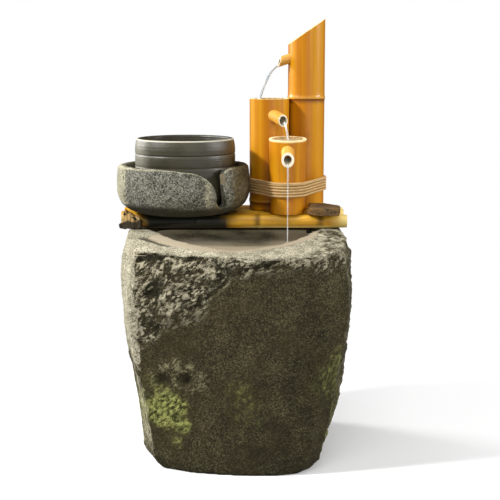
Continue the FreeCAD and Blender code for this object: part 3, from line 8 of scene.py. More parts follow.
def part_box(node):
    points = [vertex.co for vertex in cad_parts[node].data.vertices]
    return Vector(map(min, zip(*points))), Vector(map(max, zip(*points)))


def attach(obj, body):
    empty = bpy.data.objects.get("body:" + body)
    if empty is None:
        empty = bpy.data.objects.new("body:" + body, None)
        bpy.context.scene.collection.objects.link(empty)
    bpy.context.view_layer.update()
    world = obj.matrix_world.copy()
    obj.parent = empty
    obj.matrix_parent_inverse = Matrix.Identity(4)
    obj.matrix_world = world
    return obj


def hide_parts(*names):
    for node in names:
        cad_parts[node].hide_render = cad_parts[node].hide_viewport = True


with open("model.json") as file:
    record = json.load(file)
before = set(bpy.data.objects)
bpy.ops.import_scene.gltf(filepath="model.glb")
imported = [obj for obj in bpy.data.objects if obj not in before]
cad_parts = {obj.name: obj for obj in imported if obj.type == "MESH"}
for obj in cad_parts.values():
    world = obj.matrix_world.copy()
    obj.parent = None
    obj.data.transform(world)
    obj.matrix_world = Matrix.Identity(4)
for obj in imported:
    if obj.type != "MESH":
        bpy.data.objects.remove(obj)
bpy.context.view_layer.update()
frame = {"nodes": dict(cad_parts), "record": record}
nodes = frame["nodes"]
bodyOf = {member: body for body, members in frame["record"]["behaviour"]["bodies"].items()
          for member in members}
print("frame loaded with", len(nodes), "nodes")


# Shader helpers. A colour of three numbers is one as a screen shows it, 0 to 255.

def screenColor(color):
    shares = [part / 255 for part in color]
    return tuple(share / 12.92 if share <= 0.04045 else ((share + 0.055) / 1.055) ** 2.4
                 for share in shares) + (1,)


def feed(node, values):  # sets a node's inputs, or links them to an output
    for name, value in values.items():
        socket = node.inputs[name]
        if isinstance(value, Output):
            value.tree.links.new(value.socket, socket)
        elif socket.type == "RGBA" and len(value) == 3:
            socket.default_value = screenColor(value)
        else:
            socket.default_value = value


class Output:  # what a node puts out; arithmetic with it adds Math nodes to its tree
    def __init__(self, socket):
        self.socket, self.tree = socket, socket.id_data

    def calculate(self, operation, first, second):
        return addNode(self.tree, "Math", {0: first, 1: second}, operation=operation)[0]

    def __add__(self, other):
        return self.calculate("ADD", self, other)

    def __sub__(self, other):
        return self.calculate("SUBTRACT", self, other)

    def __mul__(self, other):
        return self.calculate("MULTIPLY", self, other)

    def __rtruediv__(self, other):
        return self.calculate("DIVIDE", other, self)

    def larger(self, other):
        return self.calculate("MAXIMUM", self, other)

    def remap(self, low, high, toLow=0.0, toHigh=1.0):
        return addNode(self.tree, "MapRange", {
            "Value": self, "From Min": low, "From Max": high, "To Min": toLow, "To Max": toHigh,
        }, interpolation_type="SMOOTHSTEP")[0]


class Outputs:  # a node's outputs, by number or by name
    def __init__(self, node):
        self.node = node

    def __getitem__(self, key):
        return Output(self.node.outputs[key])


def addNode(tree, kind, values=None, **settings):
    node = tree.nodes.new("ShaderNode" + kind)
    for name, value in settings.items():
        setattr(node, name, value)
    feed(node, values or {})
    return Outputs(node)


def layered(color, *layers):  # a layer is a mask and the colour that it lays over the rest
    for mask, over in layers:
        color = addNode(mask.tree, "Mix", {0: mask, 6: color, 7: over}, data_type="RGBA")[2]
    return color


def noiseValue(vector, scale, detail=4.0, roughness=0.55, distortion=0.0):
    return addNode(vector.tree, "TexNoise", {
        "Vector": vector, "Scale": scale, "Detail": detail, "Roughness": roughness,
        "Distortion": distortion})["Fac"]


def vectorMath(operation, first, second):
    return addNode(first.tree, "VectorMath", {0: first, 1: second}, operation=operation)


def stretched(vector, scale):
    return addNode(vector.tree, "Mapping", {"Vector": vector, "Scale": scale})[0]


def objectPlace(tree):
    return addNode(tree, "TexCoord")["Object"]


def attributeOf(tree, name, output="Fac"):
    return addNode(tree, "Attribute", attribute_name=name)[output]


def bumped(height, distance, strength=1.0):
    return addNode(height.tree, "Bump", {
        "Height": height, "Distance": distance, "Strength": strength})[0]


def newGroup(name, inputs, outputs):
    tree = bpy.data.node_groups.new(name, "ShaderNodeTree")
    for label, kind, value in inputs:
        socket = tree.interface.new_socket(label, in_out="INPUT", socket_type="NodeSocket" + kind)
        if value is not None:
            socket.default_value = value
    for label in outputs:
        kind = "Color" if label == "Color" else "Float"
        tree.interface.new_socket(label, in_out="OUTPUT", socket_type="NodeSocket" + kind)
    return tree, Outputs(tree.nodes.new("NodeGroupInput")), tree.nodes.new("NodeGroupOutput")


def useGroup(group, **values):
    node = values["Vector"].tree.nodes.new("ShaderNodeGroup")
    node.node_tree = group
    feed(node, values)
    return Outputs(node)


def newMaterial(name, paint, *look):  # paint gives the values of the shader's inputs
    material = bpy.data.materials.new(name)
    material.use_nodes = True
    tree = material.node_tree
    feed(tree.nodes["Principled BSDF"], {"Coat Roughness": 0.1, **paint(tree, *look)})
    return material


# Effects that several materials share

def makeGrainGroup():  # crystals of a coarse stone: a colour and a height
    tree, given, result = newGroup("stoneGrain", [
        ("Vector", "Vector", None), ("Dark", "Color", None), ("Middle", "Color", None),
        ("Light", "Color", None), ("Size", "Float", 0.004), ("Flecks", "Float", 0.5),
    ], ["Color", "Height"])
    scale = 1.0 / given["Size"]
    crystals = addNode(tree, "TexVoronoi", {
        "Vector": given["Vector"], "Scale": scale, "Randomness": 1.0})
    pick = addNode(tree, "SeparateColor", {"Color": crystals["Color"]})
    fine = noiseValue(given["Vector"], scale * 2.2, 3.0)
    broad = noiseValue(given["Vector"], scale * 0.05, 5.0)
    tone = pick["Red"] * 0.55 + fine * 0.45 + broad * 0.5
    shine = pick["Green"].remap(0.86, 0.93) * given["Flecks"]
    color = layered(given["Dark"], (tone.remap(0.40, 0.72), given["Middle"]),
                    (tone.remap(0.78, 1.05), given["Light"]), (shine, given["Light"]))
    feed(result, {"Color": color, "Height": tone - crystals["Distance"]})
    return tree


def makeFiberGroup():  # streaks and fine lines along a culm's or a plank's own Z
    tree, given, result = newGroup("fiberStreaks", [
        ("Vector", "Vector", None), ("Width", "Float", 0.012), ("Length", "Float", 0.4),
    ], ["Streak", "Fine", "Blotch"])
    across = 1.0 / given["Width"]
    size = addNode(tree, "CombineXYZ", {"X": across, "Y": across, "Z": 1.0 / given["Length"]})[0]
    flow = vectorMath("MULTIPLY", given["Vector"], size)[0]
    feed(result, {"Streak": noiseValue(flow, 1.0, 3.0, 0.5, 0.3),
                  "Fine": noiseValue(flow, 6.5, 4.0, 0.6),
                  "Blotch": noiseValue(given["Vector"], 11.0, 2.0)})
    return tree


def makeFacetGroup():  # chisel cuts: every cell is a flat face with a tilt of its own
    tree, given, result = newGroup("chiselFacets", [
        ("Vector", "Vector", None), ("Scale", "Float", 90.0)], ["Height", "Tone"])
    bent = noiseValue(given["Vector"], given["Scale"] * 2.0, 3.0)
    sway = addNode(tree, "CombineXYZ", {"X": bent * 0.008, "Y": 0.0, "Z": bent * -0.006})[0]
    shift = vectorMath("ADD", given["Vector"], sway)[0]
    cells = addNode(tree, "TexVoronoi", {"Vector": shift, "Scale": given["Scale"]})
    away = vectorMath("SUBTRACT", shift, cells["Position"])[0]
    tilt = vectorMath("SUBTRACT", cells["Color"], (0.5, 0.5, 0.5))[0]
    pick = addNode(tree, "SeparateColor", {"Color": cells["Color"]})
    feed(result, {"Height": vectorMath("DOT_PRODUCT", away, tilt)["Value"] * given["Scale"],
                  "Tone": pick["Blue"]})
    return tree


grainGroup = makeGrainGroup()
fiberGroup = makeFiberGroup()
facetGroup = makeFacetGroup()


# Materials

def granite(tree, looks):
    spot = objectPlace(tree)
    relief, rough, wearAndPaintedLight, wet, moss, lichen, damp = [attributeOf(tree, mask) for mask in (
        "relief", "rough", "wearAndPaintedLight", "wet", "moss", "lichen", "damp")]
    grain = useGroup(grainGroup, Vector=spot, Dark=looks["dark"], Middle=looks["middle"],
                     Light=looks["light"], Size=looks["grain"], Flecks=looks["flecks"])
    patches = noiseValue(spot, 9.0, 6.0).remap(0.38, 0.66)
    turned = addNode(tree, "Mapping", {
        "Vector": spot, "Rotation": (0, math.radians(looks["slant"]), 0)})[0]
    rows = stretched(turned, (looks["stretch"], 1.0, 1.0))
    large = useGroup(facetGroup, Vector=rows, Scale=looks["chipScale"])
    small = useGroup(facetGroup, Vector=rows, Scale=looks["chipScale"] * 2.3)
    ragged = noiseValue(rows, looks["chipScale"] * 2.6, 6.0, 0.85)
    tone = large["Tone"] * 0.35 + small["Tone"] * 0.50 + (ragged - 0.43) * 1.7
    # Ridges are paler, partly from their facets' random tone and partly a painted highlight from
    # the relief; hollows get a painted shade from the relief.
    ridge = rough * (tone + relief * 0.12).remap(0.50, 0.84)
    valley = rough * tone.remap(0.44, 0.22)
    sunk = valley.larger(relief.remap(-0.25, -0.95))
    edge = (noiseValue(spot, looks["raggedScale"], 5.0, 0.65) - 0.5) * 1.1
    sand = noiseValue(spot, looks["sandScale"], 4.0, 0.75).remap(0.38, 0.56)
    soiled = noiseValue(spot, 32.0, 6.0, 0.7).remap(0.36, 0.62, 0.5, 1.0)
    paleTone = layered(looks["dustShade"], (sand * soiled, looks["dust"]))
    fuzz = noiseValue(rows, 150.0, 6.0, 0.72)
    green = layered(looks["mossShade"], (fuzz.remap(0.40, 0.62), looks["moss"]))
    mossy = moss + (noiseValue(spot, 60.0, 6.0, 0.75) - 0.5) * 1.6
    spotted = lichen + (noiseValue(rows, 240.0, 5.0, 0.7) - 0.5) * 3.2
    color = layered(
        grain["Color"], (patches * looks["tinted"], looks["tint"]),
        (ridge * looks["raisedPale"], looks["chip"]), (sunk * looks["sunkDark"], looks["hollow"]),
        ((wearAndPaintedLight + edge).remap(0.36, 0.64), paleTone),
        (mossy.remap(0.10, 0.95, 0.0, 0.95) * moss.remap(0.02, 0.30), green),
        (spotted.remap(0.25, 1.05, 0.0, 0.85) * lichen.remap(0.02, 0.25), looks["lichen"]),
        ((wet + edge).remap(0.22, 0.95), looks["wet"]), (damp, looks["damp"]))
    coarse = noiseValue(spot, looks["bumpScale"], 8.0, 0.65)
    chips = large["Height"] + small["Height"] * 0.5
    height = (coarse * 1.6 + grain["Height"] * 0.5 + chips * rough * looks["chipHeight"]
              + fuzz * moss * 2.0)
    dry = wet.remap(0.2, 0.8, 1.0, 0.1)
    return {"Base Color": color, "Roughness": looks["roughness"], "Specular IOR Level": 0.2,
            "Normal": bumped(height * dry, looks["bump"])}


basinGranite = newMaterial("hewnGranite", granite, {
    "dark": (34, 31, 20), "middle": (64, 58, 38), "light": (112, 105, 74),
    "tint": (58, 50, 28), "tinted": 0.5,
    "slant": 40, "stretch": 0.5, "chipScale": 98.0, "chipHeight": 1.6,
    "chip": (228, 218, 186), "raisedPale": 0.90, "hollow": (40, 37, 24), "sunkDark": 0.8,
    "dust": (228, 220, 192), "dustShade": (98, 91, 70), "sandScale": 290.0, "raggedScale": 80.0,
    "damp": (60, 55, 40), "wet": (162, 149, 126), "lichen": (166, 160, 122),
    "moss": (202, 204, 118), "mossShade": (58, 62, 28),
    "grain": 0.0022, "flecks": 0.45, "roughness": 0.96, "bumpScale": 110.0, "bump": 0.0042})
bowlGranite = newMaterial("peckedGranite", granite, {
    "dark": (30, 30, 24), "middle": (68, 68, 57), "light": (156, 154, 136),
    "tint": (60, 58, 45), "tinted": 0.3,
    "slant": 0, "stretch": 0.9, "chipScale": 330.0, "chipHeight": 1.0,
    "chip": (226, 223, 204), "raisedPale": 0.60, "hollow": (28, 27, 21), "sunkDark": 0.85,
    "dust": (214, 208, 178), "dustShade": (116, 112, 88), "sandScale": 420.0,
    "raggedScale": 160.0,
    "damp": (48, 46, 35), "wet": (112, 102, 80), "lichen": (150, 148, 116),
    "moss": (120, 104, 66), "mossShade": (72, 62, 38),
    "grain": 0.0017, "flecks": 0.5, "roughness": 0.85, "bumpScale": 300.0, "bump": 0.0016})


def bambooSkin(tree, looks):
    ringGap, ringNear, scraped, stain = [attributeOf(tree, mask) for mask in (
        "ringGap", "ringNear", "scraped", "stain")]
    fibers = useGroup(fiberGroup, Vector=attributeOf(tree, "culm", "Vector"),
                      Width=looks["streakWidth"], Length=looks["streakLength"])
    above = ringGap.remap(-0.0004, 0.0014)  # the swelling's upper side is painted pale: some wax and a painted highlight
    wax = above * ringGap.remap(0.008, 0.003, 0.0, looks["wax"])
    # below the node a painted shade
    shade = ringGap.remap(-looks["ringFade"], -0.001) * ringGap.remap(
        looks["ringAbove"], -0.0006, 0.0, looks["ringDark"])
    color = layered(
        looks["deep"], (fibers["Streak"].remap(0.30, 0.70), looks["skin"]),
        (fibers["Fine"].remap(0.58, 0.82, 0.0, 0.22), looks["pale"]),
        (fibers["Blotch"].remap(0.50, 0.75, 0.0, 0.40), looks["blotch"]),
        (wax * ringNear, looks["pale"]), (shade * ringNear, looks["ringShade"]),
        # the last two layers: a pale band, which on the poles is painted light, and a painted
        # shadow
        (scraped, looks["scraped"]), (stain, looks["stain"]))
    return {"Base Color": color, "Roughness": fibers["Fine"].remap(0.3, 0.8, 0.30, 0.50),
            "Specular IOR Level": 0.30, "Coat Weight": looks["varnish"], "Coat Roughness": 0.14,
            "Normal": bumped(fibers["Fine"], 0.0005, 0.5)}


tubeSkin = newMaterial("varnishedCulm", bambooSkin, {
    "skin": (202, 139, 12), "deep": (176, 106, 4), "pale": (240, 204, 112),
    "blotch": (192, 116, 4), "ringShade": (112, 60, 8), "ringDark": 0.92, "ringFade": 0.014,
    "ringAbove": 0.0010, "wax": 0.20, "stain": (104, 54, 6), "varnish": 0.15,
    "scraped": (250, 226, 164), "streakWidth": 0.018, "streakLength": 0.9})
poleSkin = newMaterial("weatheredCulm", bambooSkin, {
    "skin": (238, 184, 56), "deep": (200, 142, 28), "pale": (236, 202, 118),
    "blotch": (164, 122, 34), "ringShade": (96, 70, 24), "ringDark": 0.72, "ringFade": 0.0150,
    "ringAbove": 0.0100, "wax": 0.0, "stain": (28, 29, 23), "varnish": 0.08,
    "scraped": (255, 230, 146), "streakWidth": 0.010, "streakLength": 0.3})
spoutSkin = newMaterial("spoutCulm", bambooSkin, {
    "skin": (232, 184, 88), "deep": (204, 140, 42), "pale": (252, 226, 156),
    "blotch": (214, 148, 48), "ringShade": (136, 84, 22), "ringDark": 0.5, "ringFade": 0.006,
    "ringAbove": 0.0010, "wax": 0.2, "stain": (104, 54, 6), "varnish": 0.2,
    "scraped": (252, 226, 156), "streakWidth": 0.007, "streakLength": 0.12})


def cutCane(tree, light, dark):  # the fibre ends of a sawn culm
    spot = objectPlace(tree)
    gap = addNode(tree, "TexVoronoi", {"Vector": spot, "Scale": 900.0})["Distance"]
    color = layered(dark, (gap.remap(0.16, 0.34), light),
                    (noiseValue(spot, 60.0).remap(0.4, 0.7, 0.0, 0.5), dark))
    return {"Base Color": color, "Roughness": 0.6, "Normal": bumped(gap, 0.0004)}


def caneInner(tree, light, dark):
    fibers = useGroup(fiberGroup, Vector=attributeOf(tree, "culm", "Vector"), Width=0.008,
                      Length=0.2)
    color = layered(dark, (fibers["Streak"].remap(0.3, 0.7), light))
    return {"Base Color": color, "Roughness": 0.7, "Normal": bumped(fibers["Fine"], 0.0005)}


caneCut = newMaterial("caneCut", cutCane, (252, 232, 180), (228, 194, 130))
spoutCut = newMaterial("spoutCut", cutCane, (248, 236, 212), (224, 202, 164))
caneInside = newMaterial("caneInside", caneInner, (206, 170, 110), (150, 112, 60))
boreInside = newMaterial("boreInside", caneInner, (206, 198, 172), (140, 130, 106))


def oldWood(tree, light, dark, pore):
    place = attributeOf(tree, "culm", "Vector")
    fibers = useGroup(fiberGroup, Vector=place, Width=0.006, Length=0.06)
    holes = noiseValue(place, 170.0, 3.0)
    color = layered(
        dark, (fibers["Streak"].remap(0.35, 0.65), light),
        (fibers["Blotch"].remap(0.45, 0.62, 0.0, 0.7), dark), (holes.remap(0.44, 0.30), pore),
        (attributeOf(tree, "relief").remap(-0.1, -0.8), pore), (attributeOf(tree, "darkLower"), pore))
    return {"Base Color": color, "Roughness": 0.85, "Normal": bumped(fibers["Fine"] + holes, 0.002)}


chockWood = newMaterial("splitWood", oldWood, (232, 198, 132), (158, 116, 56), (34, 28, 18))
blockWood = newMaterial("greyedWood", oldWood, (152, 108, 50), (90, 66, 30), (46, 42, 24))


def glazed(tree):
    spot = objectPlace(tree)
    rings = noiseValue(stretched(spot, (3, 3, 420)), 1.0, 2.0)
    cloud = noiseValue(spot, 14.0, 5.0)
    specks = noiseValue(spot, 700.0, 2.0).remap(0.62, 0.72, 0.0, 0.25)
    # the pale lip colour is a painted highlight on the rim and painted light on the left side
    lip = attributeOf(tree, "lip") * cloud.remap(0.2, 0.6, 0.5, 1.0)
    color = layered((46, 42, 26), (cloud.remap(0.3, 0.7), (62, 57, 38)),
                    (rings.remap(0.45, 0.7, 0.0, 0.35), (38, 36, 24)),
                    (specks, (150, 146, 124)), (lip, (196, 192, 172)))
    return {"Base Color": color, "Roughness": cloud.remap(0.3, 0.7, 0.36, 0.48),
            "Specular IOR Level": 0.6,
            "Normal": bumped(rings + noiseValue(spot, 500.0, 2.0), 0.0005)}


def hemp(tree):
    spot = objectPlace(tree)
    fuzz = noiseValue(spot, 900.0, 3.0)
    tone = noiseValue(spot, 60.0, 3.0)
    color = layered((168, 132, 78), (fuzz.remap(0.3, 0.7), (226, 194, 142)),
                    (tone.remap(0.4, 0.7, 0.0, 0.4), (186, 144, 86)))
    return {"Base Color": color, "Roughness": 0.9, "Specular IOR Level": 0.2,
            "Normal": bumped(fuzz, 0.0008)}


stoneware = newMaterial("darkStoneware", glazed)
ropeFiber = newMaterial("hempFiber", hemp)


def moulded(tree, color, roughness, metallic=0.0):
    spot = objectPlace(tree)
    fine = noiseValue(spot, 1600.0, 2.0)
    dust = noiseValue(spot, 30.0, 5.0).remap(0.45, 0.75, 0.0, 0.25)
    pale = tuple(part * 0.6 + 0.25 for part in screenColor(color)[:3]) + (1,)
    return {"Base Color": layered(color, (dust, pale)), "Metallic": metallic,
            "Roughness": fine.remap(0.2, 0.8, roughness * 0.85, min(roughness * 1.2, 1)),
            "Normal": bumped(fine, 0.0002)}


pumpMaterials = {name: newMaterial(name, moulded, *look) for name, look in {
    "pumpPlastic": ((38, 40, 42), 0.45), "rotorPlastic": ((222, 220, 210), 0.4),
    "softRubber": ((30, 30, 30), 0.7), "hoseVinyl": ((34, 34, 32), 0.3),
    "screwSteel": ((190, 190, 186), 0.3, 1.0), "shaftCeramic": ((238, 234, 224), 0.25),
    "magnetFerrite": ((52, 52, 54), 0.5)}.items()}


def stillWater(tree, looks):
    spot = objectPlace(tree)
    ripple, cloud, glint = [noiseValue(stretched(spot, scale), 1.0, detail) for scale, detail in (
        ((26, 60, 60), 3.0), ((16, 9, 8), 4.0), ((260, 60, 60), 3.0))]
    cloud = cloud.remap(0.35, 0.65)
    depth = attributeOf(tree, "depth")
    deep = layered(looks["deep"], (cloud, looks["deepPale"]))
    # The water glows, a painted glow that is lighter in the shallows and has painted glints, though
    # it is no lamp.
    murk = layered(looks["murk"], (cloud, looks["murkPale"]),
                   (glint.remap(0.60, 0.72, 0.0, 0.6), looks["glint"]),
                   (depth.remap(0.1, 0.9, 0.9, 0.0), looks["silt"]))
    return {"Base Color": layered(looks["shallow"], (depth.remap(0.0, 1.0), deep)),
            "Roughness": 0.12, "Specular IOR Level": 0.4, "IOR": waterIndex,
            "Emission Color": murk, "Emission Strength": 0.75,
            "Alpha": depth.remap(0.0, 0.5, *looks["alpha"]),
            "Normal": bumped(ripple, 0.0012, 0.3)}


def fallingWater(tree, whiteness, clearness, cover):
    swirl = noiseValue(stretched(objectPlace(tree), (90, 90, 20)), 1.0, 2.0)
    shade = (whiteness - 34, whiteness - 26, whiteness - 20)
    return {"Base Color": layered(shade, (swirl.remap(0.3, 0.7), (whiteness,) * 3)),
            "Roughness": 0.10, "IOR": waterIndex, "Transmission Weight": clearness,
            "Alpha": swirl.remap(0.2, 0.8, cover - 0.1, cover + 0.1)}


waterIndex = 1.33
poolWater = newMaterial("poolWater", stillWater, {
    "shallow": (176, 163, 138), "deep": (66, 62, 48), "deepPale": (104, 96, 78),
    "murk": (46, 44, 33), "murkPale": (86, 80, 63), "glint": (140, 136, 116),
    "silt": (112, 102, 84), "alpha": (0.80, 0.92)})

clearStream = newMaterial("clearStream", fallingWater, 228, 0.0, 0.80)
whiteStream = newMaterial("whiteStream", fallingWater, 250, 0.2, 0.60)
thinStream = newMaterial("thinStream", fallingWater, 246, 0.2, 0.38)
print("materials made")


# Mesh helpers

weldGap = 1e-6
cutSpare = 0.01  # what is sawn off a culm at a slanted end


def addObject(name, data):
    added = bpy.data.objects.new(name, data)
    bpy.context.scene.collection.objects.link(added)
    return added


def placeOf(node):  # a node's box, and the middle of its underside
    low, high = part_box(node)
    return low, high, Vector(((low.x + high.x) / 2, (low.y + high.y) / 2, low.z))


def meshOf(bm, name):
    mesh = bpy.data.meshes.new(name)
    bm.to_mesh(mesh)
    bm.free()
    return mesh


def addPiece(name, shape, node, slotName, materials, smoothAngle=35):  # on that node's body
    mesh = shape if isinstance(shape, bpy.types.Mesh) else meshOf(shape, name)
    for material in materials:
        mesh.materials.append(material)
    mesh.shade_smooth()
    mesh.set_sharp_from_angle(angle=math.radians(smoothAngle))
    piece = addObject(name, mesh)
    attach(piece, bodyOf[node])
    if slotName != "water":  # water is no piece of the part, so it stands for no node
        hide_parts(node)


def finalMesh(holder):  # the mesh of a helper object, with the object itself removed
    graph = bpy.context.evaluated_depsgraph_get()
    mesh = bpy.data.meshes.new_from_object(holder.evaluated_get(graph))
    bpy.data.objects.remove(holder)
    return mesh


def curveMesh(name, kind, lines, resolution=6, depth=0.0, detail=0):
    data = bpy.data.curves.new(name, "CURVE")
    data.dimensions = "3D"
    data.bevel_depth, data.bevel_resolution = depth, detail
    data.use_fill_caps = depth > 0
    for line in lines:  # each line is a list of places, with the radius at each
        spline = data.splines.new(kind)
        spline.points.add(len(line) - 1)
        for target, (place, radius) in zip(spline.points, line):
            target.co, target.radius = (*place, 1), radius
        spline.order_u, spline.use_endpoint_u, spline.resolution_u = 3, True, resolution
    mesh = finalMesh(addObject(name, data))
    mesh.materials.clear()
    return mesh


def spunProfile(profile, steps):
    bm = bmesh.new()
    verts = [bm.verts.new((radius, 0, height)) for radius, height in profile]
    edges = [bm.edges.new(pair) for pair in zip(verts, verts[1:])]
    bmesh.ops.spin(bm, geom=verts + edges, cent=(0, 0, 0), axis=(0, 0, 1), angle=math.tau,
                   steps=steps, use_merge=True)
    bmesh.ops.remove_doubles(bm, verts=bm.verts, dist=weldGap)
    bmesh.ops.recalc_face_normals(bm, faces=bm.faces)
    return bm


def mergedCopy(node):
    bm = bmesh.new()
    bm.from_mesh(nodes[node].data)
    bmesh.ops.remove_doubles(bm, verts=bm.verts, dist=weldGap)
    return bm


def evenCopy(node, voxel, smoothing):  # an evenly meshed copy of a solid, ready for relief
    start = addObject(node + "_start", meshOf(mergedCopy(node), node + "_start"))
    remesh = start.modifiers.new("even", "REMESH")
    remesh.mode = "VOXEL"
    remesh.voxel_size = voxel
    bm = bmesh.new()
    bm.from_mesh(finalMesh(start))
    for repeat in range(smoothing):
        bmesh.ops.smooth_vert(bm, verts=bm.verts, factor=0.5, use_axis_x=True, use_axis_y=True,
                              use_axis_z=True)
    bm.normal_update()
    return bm


def mark(bm, label, measure):  # writes a mask on each vertex
    layer = bm.verts.layers.float.new(label)
    for vert in bm.verts:
        vert[layer] = measure(*vert.co)


def carve(bm, name, node, slotName, material, measure):  # moves each vertex and writes its masks
    measured = [measure(vert.co.copy(), vert.normal.copy()) for vert in bm.verts]
    for vert, (move, masks) in zip(bm.verts, measured):
        vert.co += move
    bm.normal_update()
    mesh = meshOf(bm, name)
    for label in measured[0][1]:
        attribute = mesh.attributes.new(label, "FLOAT", "POINT")
        attribute.data.foreach_set("value", [masks[label] for move, masks in measured])
    addPiece(name, mesh, node, slotName, [material], 180)


def smoothStep(value, low, high):
    share = min(max((value - low) / (high - low), 0), 1)
    return share * share * (3 - 2 * share)


def limited(value, low=0):
    return max(low, min(1, value))


def blob(distance, radius):
    return math.exp(-(distance / radius) ** 2)


def facet(spot, size, seed):  # flat chisel cuts: every cell is a plane with a tilt of its own
    place = spot / size + Vector((seed, seed * 1.7, seed * 2.3))
    centre = noise.voronoi(place)[1][0]
    return (place - centre).dot(noise.cell_vector(centre * 61.7))


# Stone basin

basinLook = {
    "voxel": 0.0046,
    "roughLine": (0.416, 0.70),  # height of the rough area's lower edge at X 0, and its slope
    "cavityFrom": 0.15, "floorBelow": 0.42, "wallsWetBelow": 0.470,
    # bands below the top, each from its faded lower edge to its full upper one
    "brokenBand": (0.066, 0.042), "rimBand": (0.056, 0.034), "arrisBand": (0.045, 0.024),
    "waterEdge": (-0.004, 0.014), "landingEdge": (-0.004, 0.010), "wetRight": (0.182, 0.172),
    "slant": 40,                 # degrees that the chisel's rows climb to the right
    "rowStretch": 0.62,
    "bigCut": 0.036, "smallCut": 0.015, "bigDepth": 0.0080, "smallDepth": 0.0050,
    "grit": (0.0005, 0.0016), "bulge": 0.0022, "mostOut": 0.0045, "cutScale": 0.0055,
    "hollows": [(-0.148, 0.201, 0.0195), (-0.1005, 0.208, 0.018)],
    "hollowDepth": 0.0065, "hollowShade": 0.0045, "hollowRim": 0.002,
    "gouges": [(-0.203, 0.463, 0.010), (-0.187, 0.466, 0.009), (-0.172, 0.462, 0.010)],
    "gougeDepth": 0.005, "gougeShade": 0.012, "chipDepth": 0.006, "creviceDepth": 0.0025,
    "lichen": [(-0.120, 0.238, 0.017), (-0.146, 0.234, 0.014), (-0.092, 0.234, 0.016),
               (-0.072, 0.218, 0.014), (-0.070, 0.198, 0.013), (-0.124, 0.200, 0.011),
               (-0.172, 0.212, 0.011)],
    "mossSpots": [(-0.136, 0.150, 0.028, 1.0), (-0.150, 0.124, 0.028, 0.9),
                  (-0.108, 0.106, 0.016, 0.9), (-0.112, 0.152, 0.014, 0.7),
                  (-0.120, 0.068, 0.014, 0.6), (-0.172, 0.140, 0.034, 0.55),
                  (-0.150, 0.180, 0.018, 0.30), (-0.178, 0.205, 0.016, 0.5),
                  (0.022, 0.150, 0.060, 0.24), (0.010, 0.195, 0.030, 0.20),
                  (0.205, 0.200, 0.055, 0.38), (0.222, 0.250, 0.030, 0.3)],
    "shore": [(-0.200, -0.082), (-0.193, -0.094), (-0.164, -0.122), (-0.135, -0.146),
              (-0.086, -0.177), (-0.040, -0.190), (0.004, -0.190), (0.063, -0.172),
              (0.094, -0.159), (0.126, -0.133), (0.158, -0.099), (0.178, -0.059)],
    "landing": [(-0.100, -0.194), (-0.075, -0.187), (-0.055, -0.172), (-0.020, -0.162)],
    "crevice": [(-0.197, -0.088, 0.0075), (-0.180, -0.105, 0.0060), (-0.164, -0.122, 0.0045),
                (-0.148, -0.137, 0.0030), (-0.135, -0.146, 0.0015)],
    "corner": [(0.06, -0.176), (0.12, -0.184), (0.21, -0.196), (0.25, -0.198), (0.31, -0.203),
               (0.37, -0.208), (0.50, -0.209)],  # the left front edge, as height and X
}


def fromTable(table, at):
    for (first, low), (second, high) in zip(table, table[1:]):
        if at <= second:
            return low + (high - low) * max(0, at - first) / (second - first)
    return table[-1][1]


def lineGap(line, x, y):  # distance to a tapering line less its half width there
    gaps = []
    for (ax, ay, ar), (bx, by, br) in zip(line, line[1:]):
        share = ((x - ax) * (bx - ax) + (y - ay) * (by - ay)) / ((bx - ax) ** 2 + (by - ay) ** 2)
        share = min(max(share, 0), 1)
        gap = math.hypot(x - ax - (bx - ax) * share, y - ay - (by - ay) * share)
        gaps.append(gap - ar - (br - ar) * share)
    return min(gaps)


